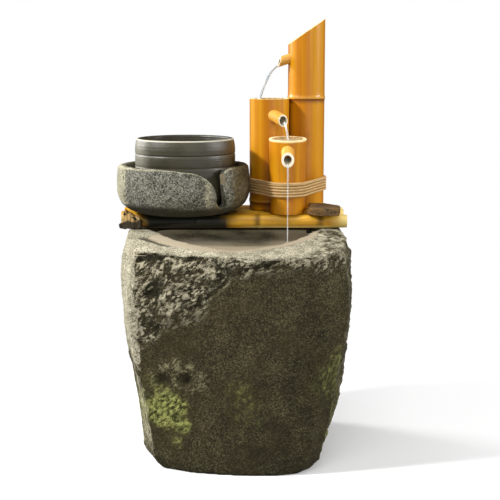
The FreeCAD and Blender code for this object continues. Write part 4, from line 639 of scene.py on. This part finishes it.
def makeBasin():
    look = basinLook
    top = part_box("stone_basin")[1].z
    turn = Matrix.Rotation(math.radians(look["slant"]), 3, "Y")

    def underTop(height, band):
        return smoothStep(height, *(top - depth for depth in look[band]))

    def roughness(spot, front, left):
        start, slope = look["roughLine"]
        line = start + slope * spot.x + noise.noise(spot * 11) * 0.060
        line += noise.noise(spot * 37) * 0.024
        broken = smoothStep(spot.z, line - 0.022, line + 0.026)
        band = 0.6 * underTop(spot.z + noise.noise(spot * 22) * 0.018, "brokenBand")
        return (max(broken, band) * front + (1 - front) * 0.45) * (1 - 0.6 * left)

    def measure(spot, normal):
        outward = (normal.x * spot.x + normal.y * spot.y) / math.hypot(spot.x, spot.y)
        inside = spot.z > look["cavityFrom"] and (
            outward < -0.2 or (normal.z > 0.5 and spot.z < look["floorBelow"]))
        front = smoothStep(-normal.y, 0.2, 0.7)
        flat = smoothStep(normal.z, 0.40, 0.75)
        corner = fromTable(look["corner"], spot.z) + noise.noise(spot * 45) * 0.008
        corner += noise.noise(spot * 17) * 0.008
        left = smoothStep(spot.x, corner + 0.004, corner - 0.002)
        rough = 0.05 if inside else roughness(spot, front, left)
        rows = turn @ spot
        rows.x *= look["rowStretch"]
        cut = rough * (facet(rows, look["bigCut"], 3.1) * look["bigDepth"]
                       + facet(rows, look["smallCut"], 8.7) * look["smallDepth"])
        fine = noise.fractal(spot * 70, 0.7, 2.2, 4)
        move = cut + fine * (look["grit"][0] + look["grit"][1] * rough)
        move += noise.fractal(spot * 9, 0.9, 2.0, 3) * (0 if inside else look["bulge"])
        ring = 0
        for x, z, radius in look["hollows"]:
            gap = math.hypot(spot.x - x, spot.z - z) * (1 + 0.30 * noise.noise(spot * 40))
            dip = front * blob(gap, radius * 0.85)
            ring = max(ring, front * blob(gap - radius * 1.20, radius * 0.30))
            move -= look["hollowDepth"] * dip
            cut -= look["hollowShade"] * dip
        move += ring * look["hollowRim"]
        for x, z, radius in look["gouges"]:
            dip = blob(math.hypot(spot.x - x, (spot.z - z) * 1.3), radius)
            move -= front * look["gougeDepth"] * dip
            cut -= front * look["gougeShade"] * dip
        move *= 1 - 0.85 * flat
        # The crevice is sunk and also painted dark, a painted shade along the waterline; walls
        # under the water are painted dark as wet stone.
        crevice = flat * smoothStep(lineGap(look["crevice"], spot.x, spot.y), 0.003, -0.001)
        move -= crevice * look["creviceDepth"]
        if not inside and flat < 0.9:  # the worn arris at the rim is chipped
            arris = underTop(spot.z, "arrisBand") * (1 - left)
            chip = max(0, noise.noise(spot * 34) + 0.25)
            move -= arris * (1 - flat) * look["chipDepth"] * chip
        foot = 0 if normal.z < -0.9 and spot.z < 0.01 else smoothStep(spot.z, 0.001, 0.012)
        ragged = noise.noise(spot * 30) * 0.30
        broad = noise.noise(spot * 7)
        rim = underTop(spot.z, "rimBand") * smoothStep(normal.z + ragged * 0.7, 0.05, 0.45)
        # The left face gets a pale strip, painted light on its lit side, and the rim's pale wear is
        # painted darker towards the right, a painted shade.
        strip = left * (1 - flat) * (
            0.34 + 0.52 * smoothStep(spot.z + 0.12 * broad, 0.04, 0.40)
            - 0.40 * smoothStep(spot.y, -0.12, 0.06) + 0.25 * broad) + ragged * left * 0.8
        shadeSide = 1 - 0.48 * smoothStep(spot.x, 0.06, 0.20)
        wearAndPaintedLight = 0.15 if inside and flat < 0.3 else max(rim * shadeSide * (0.95 + ragged), strip)
        shore = spot.y - fromTable(look["shore"], spot.x)
        landing = spot.x - fromTable(look["landing"], spot.y)
        wet = (smoothStep(shore, *look["waterEdge"]) * smoothStep(landing, *look["landingEdge"])
               * smoothStep(spot.x, *look["wetRight"]))
        moss = sum(share * blob(math.hypot(spot.x - x, spot.z - z), radius)
                   for x, z, radius, share in look["mossSpots"])
        moss = moss * front * (1 - left) + max(1 - front, left) * 0.50 * blob(
            spot.z - 0.11 - 0.07 * broad, 0.10)
        bend = Vector((noise.noise(spot * 60), noise.noise(spot * 60 + Vector((9, 0, 0))))) * 0.010
        spots = max(blob(math.hypot(spot.x + bend.x - x, spot.z + bend.y - z), radius)
                    for x, z, radius in look["lichen"])
        return normal * min(move, look["mostOut"]) * foot, {
            "relief": limited(cut / look["cutScale"], -1),
            "rough": rough * (1 - flat) * (0.58 + 0.42 * front),
            "wearAndPaintedLight": limited(wearAndPaintedLight), "wet": wet * flat if not inside else 0,
            "moss": 0 if inside else limited(moss),
            "lichen": 0 if inside else front * max(ring * 0.45, spots * 0.70),
            "damp": max(0.9 * crevice, 0.8 if inside and spot.z < look["wallsWetBelow"] else 0)}

    carve(evenCopy("stone_basin", look["voxel"], 1), "basin_stone", "stone_basin",
          "basin_granite", basinGranite, measure)


makeBasin()
print("basin made")


# Stone bowl and the pot in it

bowlLook = {"voxel": 0.0023, "wall": 0.012, "footBand": 0.024, "peck": 0.0006, "wave": 0.0010,
            "mostOut": 0.0006, "notch": 37.5, "notchSide": -0.004, "notchHalf": 0.013,
            "notchFrom": 0.09, "shoulder": (24, 9)}  # bearings and widths of turn in degrees


def makeBowl():
    look = bowlLook
    low, high, centre = placeOf("stone_bowl")
    outer = (high.x - low.x) / 2
    bearing = math.radians(look["notch"] - 90)
    along = Vector((math.cos(bearing), math.sin(bearing)))

    def measure(spot, normal):
        away = Vector((spot.x - centre.x, spot.y - centre.y))
        aside = away.x * -along.y + away.y * along.x  # to the right of the notch
        near = away.dot(along) > 0
        outside = 1 if away.length > outer - look["wall"] else 0.4
        peck = noise.fractal(spot * 230, 0.8, 2.1, 3)
        wave = noise.fractal(spot * 16, 0.9, 2.0, 3)
        move = outside * (peck * look["peck"] + wave * look["wave"]) - 0.0005
        foot = smoothStep(spot.z, low.z + 0.001, low.z + 0.012)
        # The foot band is painted dark, a painted shade where the bowl stands, and the inside of
        # the bowl is painted darker.
        band = smoothStep(spot.z + wave * 0.006, low.z + look["footBand"] + 0.008,
                          low.z + look["footBand"] - 0.008)
        edge = smoothStep(normal.z, 0.25, 0.7) * smoothStep(spot.z, low.z + 0.03, low.z + 0.06)
        turned = math.degrees(math.atan2(away.x, -away.y))  # 0 faces the camera's side
        shoulder, width = look["shoulder"]
        smooth = max(smoothStep(turned, -38, -62), blob(turned - shoulder, width))
        # The left side is painted paler, painted light on its lit side, over the pale wear on the
        # rim and the smoothed areas.
        sunny = smoothStep(turned, -35, -65)
        # The notch is painted lighter than the stone: painted light in a slot that its own walls
        # shade.
        inNotch = (near and abs(aside - look["notchSide"]) < look["notchHalf"]
                   and look["notchFrom"] < away.length < outer - 0.003)
        return normal * min(move, look["mostOut"]) * foot, {
            "relief": limited(peck * 0.42, -1) * (1 - band),
            "rough": (1 - 0.75 * smooth) * (1 - band) * (outside == 1),
            "wearAndPaintedLight": min(1, max((0.62 + 0.38 * sunny) * edge * outside,
                               (0.54 + 0.03 * sunny) * smooth * (1 - band))),
            "wet": 0.9 if inNotch else 0,
            "moss": 0.85 * smoothStep(aside, 0.0, 0.05) * smoothStep(
                spot.x, centre.x + 0.06, centre.x + 0.12) if near else 0,
            "damp": max(0.85 * band, 0.6 * (outside < 1) * (not inNotch))}

    carve(evenCopy("stone_bowl", look["voxel"], 2), "pouring_bowl", "stone_bowl",
          "bowl_granite", bowlGranite, measure)


potLook = {"wall": 0.011, "floor": 0.012, "foot": 0.089, "flare": 0.26, "leanFrom": 0.020,
           "lean": 0.003, "grooves": [(0.082, 0.00072), (0.108, 0.0012)], "steps": 160}


def makePot():
    look = potLook
    low, high, centre = placeOf("inner_pot")
    outer = (high.x - low.x) / 2
    tall = high.z - low.z
    under = 0.0003  # the foot ring stands just clear of the bowl
    profile = [(0, 0.002), (look["foot"] - 0.014, 0.002), (look["foot"] - 0.012, under)]
    for step in range(13):  # from the foot out to the upright wall
        turn = math.radians(90 * step / 12)
        profile.append((look["foot"] + (outer - look["foot"]) * math.sin(turn),
                        under + tall * look["flare"] * (1 - math.cos(turn))))
    for height, depth in look["grooves"]:
        profile += [(outer - inwards, height + up) for inwards, up in (
            (0, -0.004), (0.0002, -0.002), (depth, -0.0006), (depth, 0.0006), (0.0002, 0.002),
            (0, 0.004))]
    edge = look["wall"] / 2 - look["lean"] / 2
    for step in range(1, 8):  # the wall leans in a little below the rim
        share = step / 7
        profile.append((outer - look["lean"] * share ** 2,
                        tall - edge - look["leanFrom"] * (1 - share)))
    for step in range(1, 13):  # over the rolled rim
        turn = math.radians(180 * step / 12)
        profile.append((outer - look["lean"] - edge + edge * math.cos(turn),
                        tall - edge + edge * math.sin(turn)))
    inner = outer - look["wall"]
    profile += [(inner - inwards, look["floor"] + up) for inwards, up in (
        (0.0005, 0.03), (0.004, 0.012), (0.012, 0.003), (0.03, 0), (inner, 0))]
    bm = spunProfile(profile, look["steps"])

    def paleTone(x, y, z):  # a painted highlight on the rim, and painted light a little on the left side
        side = 0.30 * smoothStep(-x, outer * 0.60, outer * 0.92) * smoothStep(z, 0.055, 0.085)
        return max(smoothStep(z, tall - 0.0034, tall - 0.0016), side) * smoothStep(
            math.hypot(x, y), inner + 0.003, inner + 0.006)

    mark(bm, "lip", paleTone)
    bmesh.ops.translate(bm, verts=bm.verts, vec=centre)
    addPiece("stoneware_pot", bm, "inner_pot", "pot_stoneware", [stoneware], 40)


makeBowl()
makePot()
print("bowl and pot made")


# Bamboo: every culm is spun about its own Z and then put in its place

tubeSteps, poleSteps = 112, 56  # faces round a culm
nodeReach = (0.030, 0.020)      # how far from a node its shade goes, and is full


def nodeSwell(height, rings, ridge):  # at each node a sharp scar under a round swelling
    swell = 0
    for ring in rings:
        gap = height - ring
        swell += ridge * (0.14 * blob(gap + 0.0012, 0.0012) + 0.78 * blob(gap - 0.0026, 0.0048)
                          - 0.20 * blob(gap + 0.0038, 0.0022))
    return swell


def culmHeights(length, rings, step, reach, closeStep):  # closer together near a node
    heights = {0.0, length}
    for index in range(1, int(length / step)):
        heights.add(round(index * step, 5))
    count = int(reach / closeStep)
    for ring in rings:
        for index in range(-count, count + 1):
            heights.add(round(min(max(ring + index * closeStep, 0), length), 5))
    return sorted(heights)


def finishCulm(bm, name, node, slotName, place, materials, rings, bore, seed, wave, paintedShadowSpan=None,
               rim=None):
    layers = bm.verts.layers
    keep = layers.float_vector.new("culm")
    gapLayer, nearLayer, paintedShadowLayer, paleBandLayer = [layers.float.new(label) for label in (
        "ringGap", "ringNear", "stain", "scraped")]
    for face in bm.faces:
        middle = face.calc_center_median()
        out = math.hypot(middle.x, middle.y)
        radial = face.normal.x * middle.x + face.normal.y * middle.y
        if abs(face.normal.z) > 0.55 and out > bore * 0.9:
            face.material_index = 1
        elif radial < 0 or out < bore * 0.9:
            face.material_index = 2
    for vert in bm.verts:
        spot = vert.co.copy()
        vert[keep] = spot + Vector((seed * 0.37, seed * 0.71, seed * 1.3))
        near = min((spot.z - ring for ring in rings), key=abs) if rings else 1
        vert[gapLayer] = near
        vert[nearLayer] = smoothStep(abs(near), *nodeReach)
        # Over a span under the bowl the poles are painted near black: a painted shadow of the bowl.
        if paintedShadowSpan:
            start, end = paintedShadowSpan
            level = spot.z + noise.noise(spot * 40) * 0.012
            vert[paintedShadowLayer] = smoothStep(level, start, start + 0.02) * smoothStep(
                level, end, end - 0.03)
            # the poles get painted light towards their right ends and a painted reflection along
            # their lower edges
            under = smoothStep(spot.y, -0.006, -0.0115) * smoothStep(spot.z, end, end + 0.03)
            vert[paleBandLayer] = max(
                0.9 * smoothStep(spot.z, *poleLook["bleached"]), 0.7 * under)
        if rim:
            point, normal, width = rim
            vert[paleBandLayer] = smoothStep((spot - point).dot(normal), -width, -width * 0.6)
        out = math.hypot(spot.x, spot.y)
        if out > bore * 1.02:
            ripple = noise.noise(Vector((spot.x * 25, spot.y * 25, spot.z * 5 + seed * 9)))
            share = 1 + wave * (ripple - 0.6) / out
            vert.co.x *= share
            vert.co.y *= share
    bmesh.ops.transform(bm, matrix=place, verts=bm.verts)
    addPiece(name, bm, node, slotName, materials, 38)


def bisect(bm, point, normal, clear):
    bmesh.ops.bisect_plane(bm, geom=bm.verts[:] + bm.edges[:] + bm.faces[:], dist=weldGap,
                           plane_co=point, plane_no=normal, clear_outer=clear)


def cutAcross(bm, point, normal, bevel):  # saws a culm off and closes its wall again
    bisect(bm, point, normal, True)
    made = bmesh.ops.bridge_loops(bm, edges=[edge for edge in bm.edges if edge.is_boundary])
    rim = set(edge for face in made["faces"] for edge in face.edges if len(edge.link_faces) == 2
              and not all(other in made["faces"] for other in edge.link_faces))
    bmesh.ops.bevel(bm, geom=list(rim), offset=bevel, segments=2, affect="EDGES", profile=0.5,
                    material=-1)
    bmesh.ops.recalc_face_normals(bm, faces=bm.faces)


tubeWall = 0.007
tubeLooks = {
    "tall_tube": {"name": "tall_culm", "ridge": 0.0016, "taper": 1.0, "rings": [0.246],
                  "floor": 0.250, "low": 0.367, "slope": 34, "way": (-1, 0), "seed": 1.0,
                  "scraped": 0.0012},
    "medium_tube": {"name": "medium_culm", "ridge": 0.0016, "taper": 1.0, "rings": [0.017],
                    "floor": 0.008, "low": 0.247, "slope": 0, "way": (-1, 0), "seed": 2.0,
                    "scraped": 0.0007},
    "small_tube": {"name": "small_culm", "ridge": 0.0, "taper": 0.90, "rings": [],
                   "floor": 0.008, "low": 0.163, "slope": 4, "way": (0, -1), "seed": 3.0,
                   "scraped": 0.0050},
}


def makeTube(node, look):
    low, high, centre = placeOf(node)
    outer = (high.x - low.x) / 2 - look["ridge"]
    tall = high.z - low.z + cutSpare
    foot = outer * look["taper"]
    profile = [(0, 0)] + [
        (foot + (outer - foot) * height / tall + nodeSwell(height, look["rings"], look["ridge"]),
         height) for height in culmHeights(tall, look["rings"], 0.012, 0.009, 0.0008)]
    innerFoot = foot - tubeWall
    profile += [(outer - tubeWall, tall), (innerFoot + 0.002, look["floor"] + 0.006),
                (innerFoot - 0.004, look["floor"]), (0, look["floor"])]
    bm = spunProfile(profile, tubeSteps)
    wayX, wayY = look["way"]
    lean = math.tan(math.radians(look["slope"]))
    point = Vector((outer * wayX, 0, look["low"]))
    normal = Vector((lean * wayX, lean * wayY, 1)).normalized()
    bisect(bm, point - normal * look["scraped"], normal, False)
    cutAcross(bm, point, normal, 0.0009)
    finishCulm(bm, look["name"], node, "tube_bamboo", Matrix.Translation(centre),
               [tubeSkin, caneCut, caneInside], look["rings"], innerFoot, look["seed"], 0.00035,
               rim=(point, normal, look["scraped"]))
    return centre, outer


tubes = {node: makeTube(node, look) for node, look in tubeLooks.items()}

spoutLooks = {
    "upper_spout": {"tube": "tall_tube", "outer": 0.022, "bore": 0.0144, "yaw": 192.4,
                    "pitch": 18, "start": 0.0415, "reach": 0.085, "height": 0.351, "lip": 34,
                    "seed": 4.0},
    "middle_spout": {"tube": "medium_tube", "outer": 0.027, "bore": 0.0190, "yaw": -54,
                     "pitch": 16, "start": -0.0105, "reach": 0.036, "height": 0.209,
                     "bearing": -75, "out": 1.0, "lip": 20, "seed": 5.0},
    "lower_spout": {"tube": "small_tube", "outer": 0.029, "bore": 0.017, "yaw": -91,
                    "pitch": 27, "start": -0.0112, "reach": 0.037, "height": 0.134,
                    "bearing": -92, "out": 0.98, "lip": 32, "seed": 6.0},
}
spoutTaper = 0.0008
hoseOffset = 0.010  # the hose in the tall tube stands this far to the right of its middle


def spoutAxis(look, root):  # turns a culm's Z along the spout and its X upwards
    yaw, pitch = math.radians(look["yaw"]), math.radians(look["pitch"])
    along = Vector((math.cos(yaw) * math.cos(pitch), math.sin(yaw) * math.cos(pitch),
                    -math.sin(pitch)))
    side = Vector((math.sin(yaw), -math.cos(yaw), 0))
    up = side.cross(along)
    if up.z < 0:
        up, side = -up, -side
    turn = Matrix((up, along.cross(up), along)).transposed().to_4x4()
    return Matrix.Translation(root) @ turn, along


def makeSpout(node, look):
    centre, radius = tubes[look["tube"]]
    if "bearing" in look:
        radius, bearing = radius * look["out"], math.radians(look["bearing"])
        root = centre + Vector((radius * math.cos(bearing), radius * math.sin(bearing),
                                look["height"]))
    else:
        root = centre + Vector((hoseOffset, 0, look["height"]))
    place, along = spoutAxis(look, root)
    outer, bore = look["outer"] / 2, look["bore"] / 2
    start, reach = look["start"], look["reach"] + cutSpare
    profile = [(bore, start), (outer - 0.0004, start)]
    for step in range(1, 9):
        share = step / 8
        profile.append((outer - spoutTaper * share, start + (reach - start) * share))
    profile += [(bore, reach), (bore, start)]
    bm = spunProfile(profile, poleSteps)
    slant = math.tan(math.radians(look["lip"]))
    cutAcross(bm, Vector((-outer, 0, look["reach"])), Vector((slant, 0, 1)).normalized(), 0.0007)
    finishCulm(bm, node + "_culm", node, "spout_bamboo", place, [spoutSkin, spoutCut, boreInside],
               [], bore, look["seed"], 0.0002)
    return root + along * look["reach"]


upperTip, middleTip, lowerTip = [makeSpout(node, look) for node, look in spoutLooks.items()]

# Two spans along a pole: where it gets a painted shadow of the bowl, and towards its right end,
# where it gets painted light.
poleLook = {"count": 6, "wall": 0.0045, "bore": 0.024, "ridge": 0.0009, "firstNode": 0.194,
            "stagger": 0.043, "nodeGap": 0.1367, "nodesFrom": 0.012, "damp": (-0.222, 0.003),
            "bleached": (0.405, 0.445), "bevel": 0.0008}


def makePole(row, raftRight):
    look = poleLook
    node = "raft_pole_%d" % (row + 1)
    low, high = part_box(node)
    outer = (high.z - low.z) / 2 - look["ridge"]
    length = high.x - low.x
    rings = [raftRight - look["firstNode"] + look["stagger"] * row + look["nodeGap"] * step - low.x
             for step in range(-4, 5)]
    rings = [ring for ring in rings if look["nodesFrom"] < ring < length - look["nodesFrom"]]
    bore = outer - look["wall"]
    end = [(0, look["bore"]), (bore * 0.8, look["bore"]), (bore, look["bore"] - 0.003),
           (bore, 0.0006), (bore + 0.0006, 0), (outer - look["bevel"], 0)]
    skin = []
    for height in culmHeights(length, rings, 0.015, 0.008, 0.001)[1:-1]:
        bevel = look["bevel"] if height < 0.001 or height > length - 0.001 else 0
        skin.append((outer + nodeSwell(height, rings, look["ridge"]) - bevel, height))
    profile = end + skin + [(radius, length - height) for radius, height in reversed(end)]
    lying = Matrix(((0, 0, 1, low.x), (1, 0, 0, (low.y + high.y) / 2),
                    (0, 1, 0, (low.z + high.z) / 2), (0, 0, 0, 1)))
    finishCulm(spunProfile(profile, poleSteps), node + "_culm", node, "raft_bamboo", lying,
               [poleSkin, caneCut, caneInside], rings, bore, 10.0 + row, 0.0003,
               [edge - low.x for edge in look["damp"]])


for row in range(poleLook["count"]):
    makePole(row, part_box("raft_pole_1")[1].x)
print("bamboo made")


# Rope binding: three strands twisted along a spiral of turns round the three tubes

ropeLook = {"strand": 0.00158, "strands": 3, "twist": 0.0150, "turns": 6, "rise": 0.0061,
            "gap": 0.0005, "low": 0.0346, "thick": 0.0059, "step": 0.0020, "shake": 0.0004,
            "smallTop": 0.166}


def onPlan(place):
    return Vector((place.x, place.y))


def ropeCorners():  # corners of a loop that lies against the tubes, with even turns round each
    look = ropeLook
    smallTaper = tubeLooks["small_tube"]["taper"]
    level = (look["low"] + look["rise"] * 3) / look["smallTop"]
    shrunk = {"small_tube": smallTaper + (1 - smallTaper) * level}
    rounds = [(centre, radius * shrunk.get(node, 1) + (look["gap"] + look["thick"] / 2))
              for node, (centre, radius) in tubes.items()]
    normals = []
    for (centre, radius), (following, nextRadius) in zip(rounds, rounds[1:] + rounds[:1]):
        way = onPlan(following) - onPlan(centre)
        share = (radius - nextRadius) / way.length
        way.normalize()
        normals.append(way * share + Vector((way.y, -way.x)) * math.sqrt(1 - share * share))
    corners = []
    for index, (centre, radius) in enumerate(rounds):
        before, after = normals[index - 1], normals[index]
        first = math.atan2(before.y, before.x)
        turn = (math.atan2(after.y, after.x) - first) % math.tau
        if turn > math.pi:
            turn -= math.tau
        count = max(2, math.ceil(abs(turn) / math.radians(40)))
        part = turn / count
        reach = radius / math.cos(part / 2)
        for step in range(count):
            angle = first + part * (step + 0.5)
            corners.append((centre.x + reach * math.cos(angle), centre.y + reach * math.sin(angle)))
        half = Vector((-after.y, after.x)) * (1 if turn > 0 else -1) * (
            radius * math.tan(abs(part) / 2))
        following, nextRadius = rounds[(index + 1) % len(rounds)]
        leave, arrive = onPlan(centre) + after * radius, onPlan(following) + after * nextRadius
        corners.append(tuple(leave + half))
        if (arrive - leave).length > 0.02:
            corners.append(tuple(arrive - half))
    back = max(range(len(corners)), key=lambda index: corners[index][1])
    return corners[back:] + corners[:back]  # the rope's ends lie behind the tall tube


def ropeLine():  # the rope's middle line, as points of one smooth curve
    look = ropeLook
    corners = ropeCorners()
    base = tubes["tall_tube"][0].z + look["low"] + look["thick"] / 2
    line = []
    for index in range(len(corners) * look["turns"]):
        turn = index / len(corners)
        x, y = corners[index % len(corners)]
        shake = noise.noise(Vector((x * 30, y * 30, turn * 3.3))) * look["shake"]
        line.append(((x, y, base + look["rise"] * min(turn, look["turns"] - 1) + shake), 1))
    return [vert.co.copy() for vert in curveMesh("rope_line", "NURBS", [line]).vertices]


def evenPoints(points, step):
    result = [points[0]]
    left = step
    for before, after in zip(points, points[1:]):
        way = after - before
        at = left
        while at <= way.length:
            result.append(before + way * (at / way.length))
            at += step
        left = at - way.length
    return result


def makeRope():
    look = ropeLook
    points = evenPoints(ropeLine(), look["step"])
    strands = [[] for strand in range(look["strands"])]
    for index, point in enumerate(points):
        way = (points[min(index + 1, len(points) - 1)] - points[max(index - 1, 0)]).normalized()
        side = Vector((way.y, -way.x, 0)).normalized()
        up = side.cross(way)
        for strand, line in enumerate(strands):
            turn = math.tau * (index * look["step"] / look["twist"] + strand / len(strands))
            line.append((point + (side * math.cos(turn) + up * math.sin(turn))
                         * (look["thick"] / 2 - look["strand"]), 1))
    addPiece("rope_turns", curveMesh("rope_turns", "POLY", strands, depth=look["strand"], detail=1),
             "rope_binding", "hemp_rope", [ropeFiber], 60)


makeRope()
print("rope made")


# Weathered wood: the split chock and the greyed block

woodLooks = {
    "left_chock": {"name": "split_chock", "voxel": 0.0011, "depth": 0.0026, "seed": 1.7,
                   "lying": False, "rottenBelow": 0.516, "mostOut": 0.0002},
    "right_block": {"name": "greyed_block", "voxel": 0.0014, "depth": 0.0010, "seed": 4.1,
                    "lying": True, "rottenBelow": 0.520, "mostOut": 0.0002},
}


def makeWoodLump(node, material):
    look = woodLooks[node]
    bm = evenCopy(node, look["voxel"], 1)

    def grainWay(spot):  # the grain runs along Z of this vector
        return Vector((spot.y, spot.z, spot.x)) if look["lying"] else spot

    def measure(spot, normal):
        flow = grainWay(spot)
        grain = noise.fractal(Vector((flow.x * 160, flow.y * 160, flow.z * 22)), 0.8, 2.1, 3)
        pits = min(0, noise.noise(spot * 120) + 0.15)
        move = look["depth"] * (grain * 0.5 + pits * 1.6) - look["depth"] * 0.4
        # Below a set height the wood is painted dark.
        lowerDark = smoothStep(spot.z + noise.noise(spot * 70) * 0.006, look["rottenBelow"],
                         look["rottenBelow"] - 0.006)
        return normal * min(move, look["mostOut"]), {
            "relief": limited(pits * 2.4, -1), "darkLower": lowerDark * 0.95}

    keep = bm.verts.layers.float_vector.new("culm")
    for vert in bm.verts:
        vert[keep] = grainWay(vert.co) + Vector((look["seed"],) * 3)
    carve(bm, look["name"], node, "old_wood", material, measure)


makeWoodLump("left_chock", chockWood)
makeWoodLump("right_block", blockWood)
print("weathered wood made")


# The pump, its hose and the fasteners keep their solids' shape and get smooth shading

plainPieces = {
    "pumpPlastic": ["pump_housing", "outlet_nozzle", "impeller_cover", "strainer"],
    "rotorPlastic": ["flow_dial", "impeller"], "magnetFerrite": ["rotor_magnet"],
    "shaftCeramic": ["rotor_shaft"],
    "softRubber": ["shaft_bushes", "chamber_seal", "suction_feet", "cord_gland"],
    "screwSteel": ["tube_screws"], "hoseVinyl": ["water_hose"], "caneCut": ["raft_dowels"],
}
slotOf = {entry["node"]: entry["material_slot"] for entry in frame["record"]["subparts"]}
for materialName, members in plainPieces.items():
    for node in members:
        addPiece(node + "_finished", mergedCopy(node), node, slotOf[node],
                 [pumpMaterials.get(materialName, caneCut)])
print("pump and fasteners made")


# Water in the basin and the tubes, and the three streams

waterLook = {"level": 0.4655, "left": 0.211, "right": 0.195, "front": 0.178, "back": 0.176,
             "bends": [(0.085, 0.117, 0.300), (-0.0635, 0.0799, 0.258)], "shore": 0.185,
             "tubeGap": 0.0075, "tubeDepth": 0.25, "tubeLevels": {"small_tube": 0.1605,
                                                                  "medium_tube": 0.236}}

gravity = 9.81


def makePool():
    look = waterLook
    bm = bmesh.new()
    bmesh.ops.create_grid(bm, x_segments=60, y_segments=60, size=1)
    for vert in bm.verts:
        x = vert.co.x * (look["right"] if vert.co.x > 0 else look["left"])
        y = vert.co.y * (look["back"] if vert.co.y > 0 else look["front"])
        vert.co = Vector((x, y, look["level"]))

    def deepness(x, y, z):
        gap = min(radius - math.hypot(x - cx, y - cy) for cx, cy, radius in look["bends"])
        sway = 0.05 * noise.noise(Vector((x * 9, y * 3, 0))) + 0.30 * max(0, -x - 0.06)
        return smoothStep(gap + sway, 0.02, look["shore"])

    mark(bm, "depth", deepness)
    addPiece("pool_water", bm, "stone_basin", "water", [poolWater])


def makeTubeWater(node, level):
    centre, outer = tubes[node]
    bm = bmesh.new()
    bmesh.ops.create_circle(bm, cap_ends=True, segments=64, radius=outer - waterLook["tubeGap"])
    bmesh.ops.translate(bm, verts=bm.verts, vec=centre + Vector((0, 0, level)))
    mark(bm, "depth", lambda x, y, z: waterLook["tubeDepth"])
    addPiece(node + "_water", bm, node, "water", [poolWater])


def makeStreamPiece(name, tip, look):  # a jet that leaves the spout with that speed and falls
    start, line = tip + Vector(look["offset"]), []
    for step, radius in enumerate(look["radii"]):
        fall = look["drop"] * (step / (len(look["radii"]) - 1)) ** 2
        time = math.sqrt(2 * fall / gravity)
        line.append((start + Vector(look["speed"]) * time + Vector((0, 0, -fall)), radius))
    addPiece(name, curveMesh(name, "NURBS", [line], 8, 1.0, 3), "upper_spout", "water",
             [look["material"]], 80)


makePool()
for node, level in waterLook["tubeLevels"].items():
    makeTubeWater(node, level)
makeStreamPiece("upper_stream", upperTip, {
    "offset": (0.001, 0, -0.005), "speed": (-0.376, -0.04, -0.22), "drop": 0.060,
    "radii": [0.0044, 0.0044, 0.0044, 0.0043, 0.0042, 0.0040, 0.0038], "material": clearStream})
makeStreamPiece("middle_stream", middleTip, {
    "offset": (-0.001, 0, -0.003), "speed": (0.10, -0.10, 0), "drop": 0.040,
    "radii": [0.0034, 0.0026, 0.0022, 0.0020, 0.0018], "material": whiteStream})
makeStreamPiece("lower_stream", lowerTip, {
    "offset": (0, 0, -0.004), "speed": (0.0, -0.02, 0), "drop": 0.176,
    "radii": [0.0036, 0.0022, 0.0016, 0.0014, 0.0013, 0.0012, 0.0012], "material": thinStream})
print("water made")


# Camera, floor and light

white = (1, 1, 1, 1)
floorRadius = 25
cameraLook = {"lens": 80, "width": 36, "place": (0.030, -2.4083, 0.8630), "down": 9.8}
lampLooks = {  # where it stands, what it points at, its size and its power
    "key": ((-2.55, -0.95, 2.50), (0, 0, 0.45), 0.40, 140),
    "sky": ((0.1, -1.7, 3.3), (0, 0, 0.5), 2.2, 40),
    "fill": ((1.1, -2.9, 1.05), (0, 0, 0.5), 2.6, 24),
    "rim": ((2.4, -0.4, 1.5), (0, 0, 0.55), 0.9, 44),
    "edge": ((-2.3, 1.3, 1.5), (0, 0, 0.6), 0.9, 60),
}


def makeCamera():
    data = bpy.data.cameras.new("camera")
    data.lens, data.sensor_width, data.clip_end = cameraLook["lens"], cameraLook["width"], 60
    camera = addObject("camera", data)
    camera.location = cameraLook["place"]
    camera.rotation_euler = (math.radians(90 - cameraLook["down"]), 0, 0)
    bpy.context.scene.camera = camera


def seenByCamera(tree):
    path = addNode(tree, "LightPath")
    return path["Is Camera Ray"].larger(path["Is Transmission Ray"])


def makeFloor():
    material = bpy.data.materials.new("paleFloor")
    material.use_nodes = True
    tree = material.node_tree
    tree.nodes.clear()
    away = addNode(tree, "VectorMath", {0: objectPlace(tree)}, operation="LENGTH")["Value"]
    fade = away.remap(0.35, 0.95)
    seen = seenByCamera(tree)
    tone = seen.remap(0.0, 1.0, 0.30, 0.92)  # the object gets little light from below
    gray = addNode(tree, "CombineColor", {"Red": tone, "Green": tone, "Blue": tone})[0]
    paint = addNode(tree, "BsdfDiffuse", {"Color": gray})[0]
    glow = addNode(tree, "Emission", {"Color": white, "Strength": 1.0})[0]
    blend = addNode(tree, "MixShader", {0: fade * seen, 1: paint, 2: glow})[0]
    addNode(tree, "OutputMaterial", {"Surface": blend})
    bm = bmesh.new()
    bmesh.ops.create_circle(bm, cap_ends=True, segments=96, radius=floorRadius)
    floor = addObject("floor", meshOf(bm, "floor"))
    floor.data.materials.append(material)


def makeWorld():
    world = bpy.data.worlds.new("studio")
    world.use_nodes = True
    tree = world.node_tree
    tree.nodes.clear()
    strength = seenByCamera(tree).remap(0.0, 1.0, 0.16, 1.0)
    glow = addNode(tree, "Background", {"Color": white, "Strength": strength})[0]
    addNode(tree, "OutputWorld", {"Surface": glow})
    bpy.context.scene.world = world


def addLamp(name, place, aim, size, energy):
    data = bpy.data.lights.new(name, "AREA")
    data.shape, data.size, data.energy = "DISK", size, energy
    lamp = addObject(name, data)
    lamp.location = place
    lamp.rotation_euler = (Vector(aim) - Vector(place)).to_track_quat("-Z", "Y").to_euler()


makeCamera()
makeFloor()
makeWorld()
for name, look in lampLooks.items():
    addLamp(name, *look)
bpy.context.scene.view_settings.view_transform = "Standard"
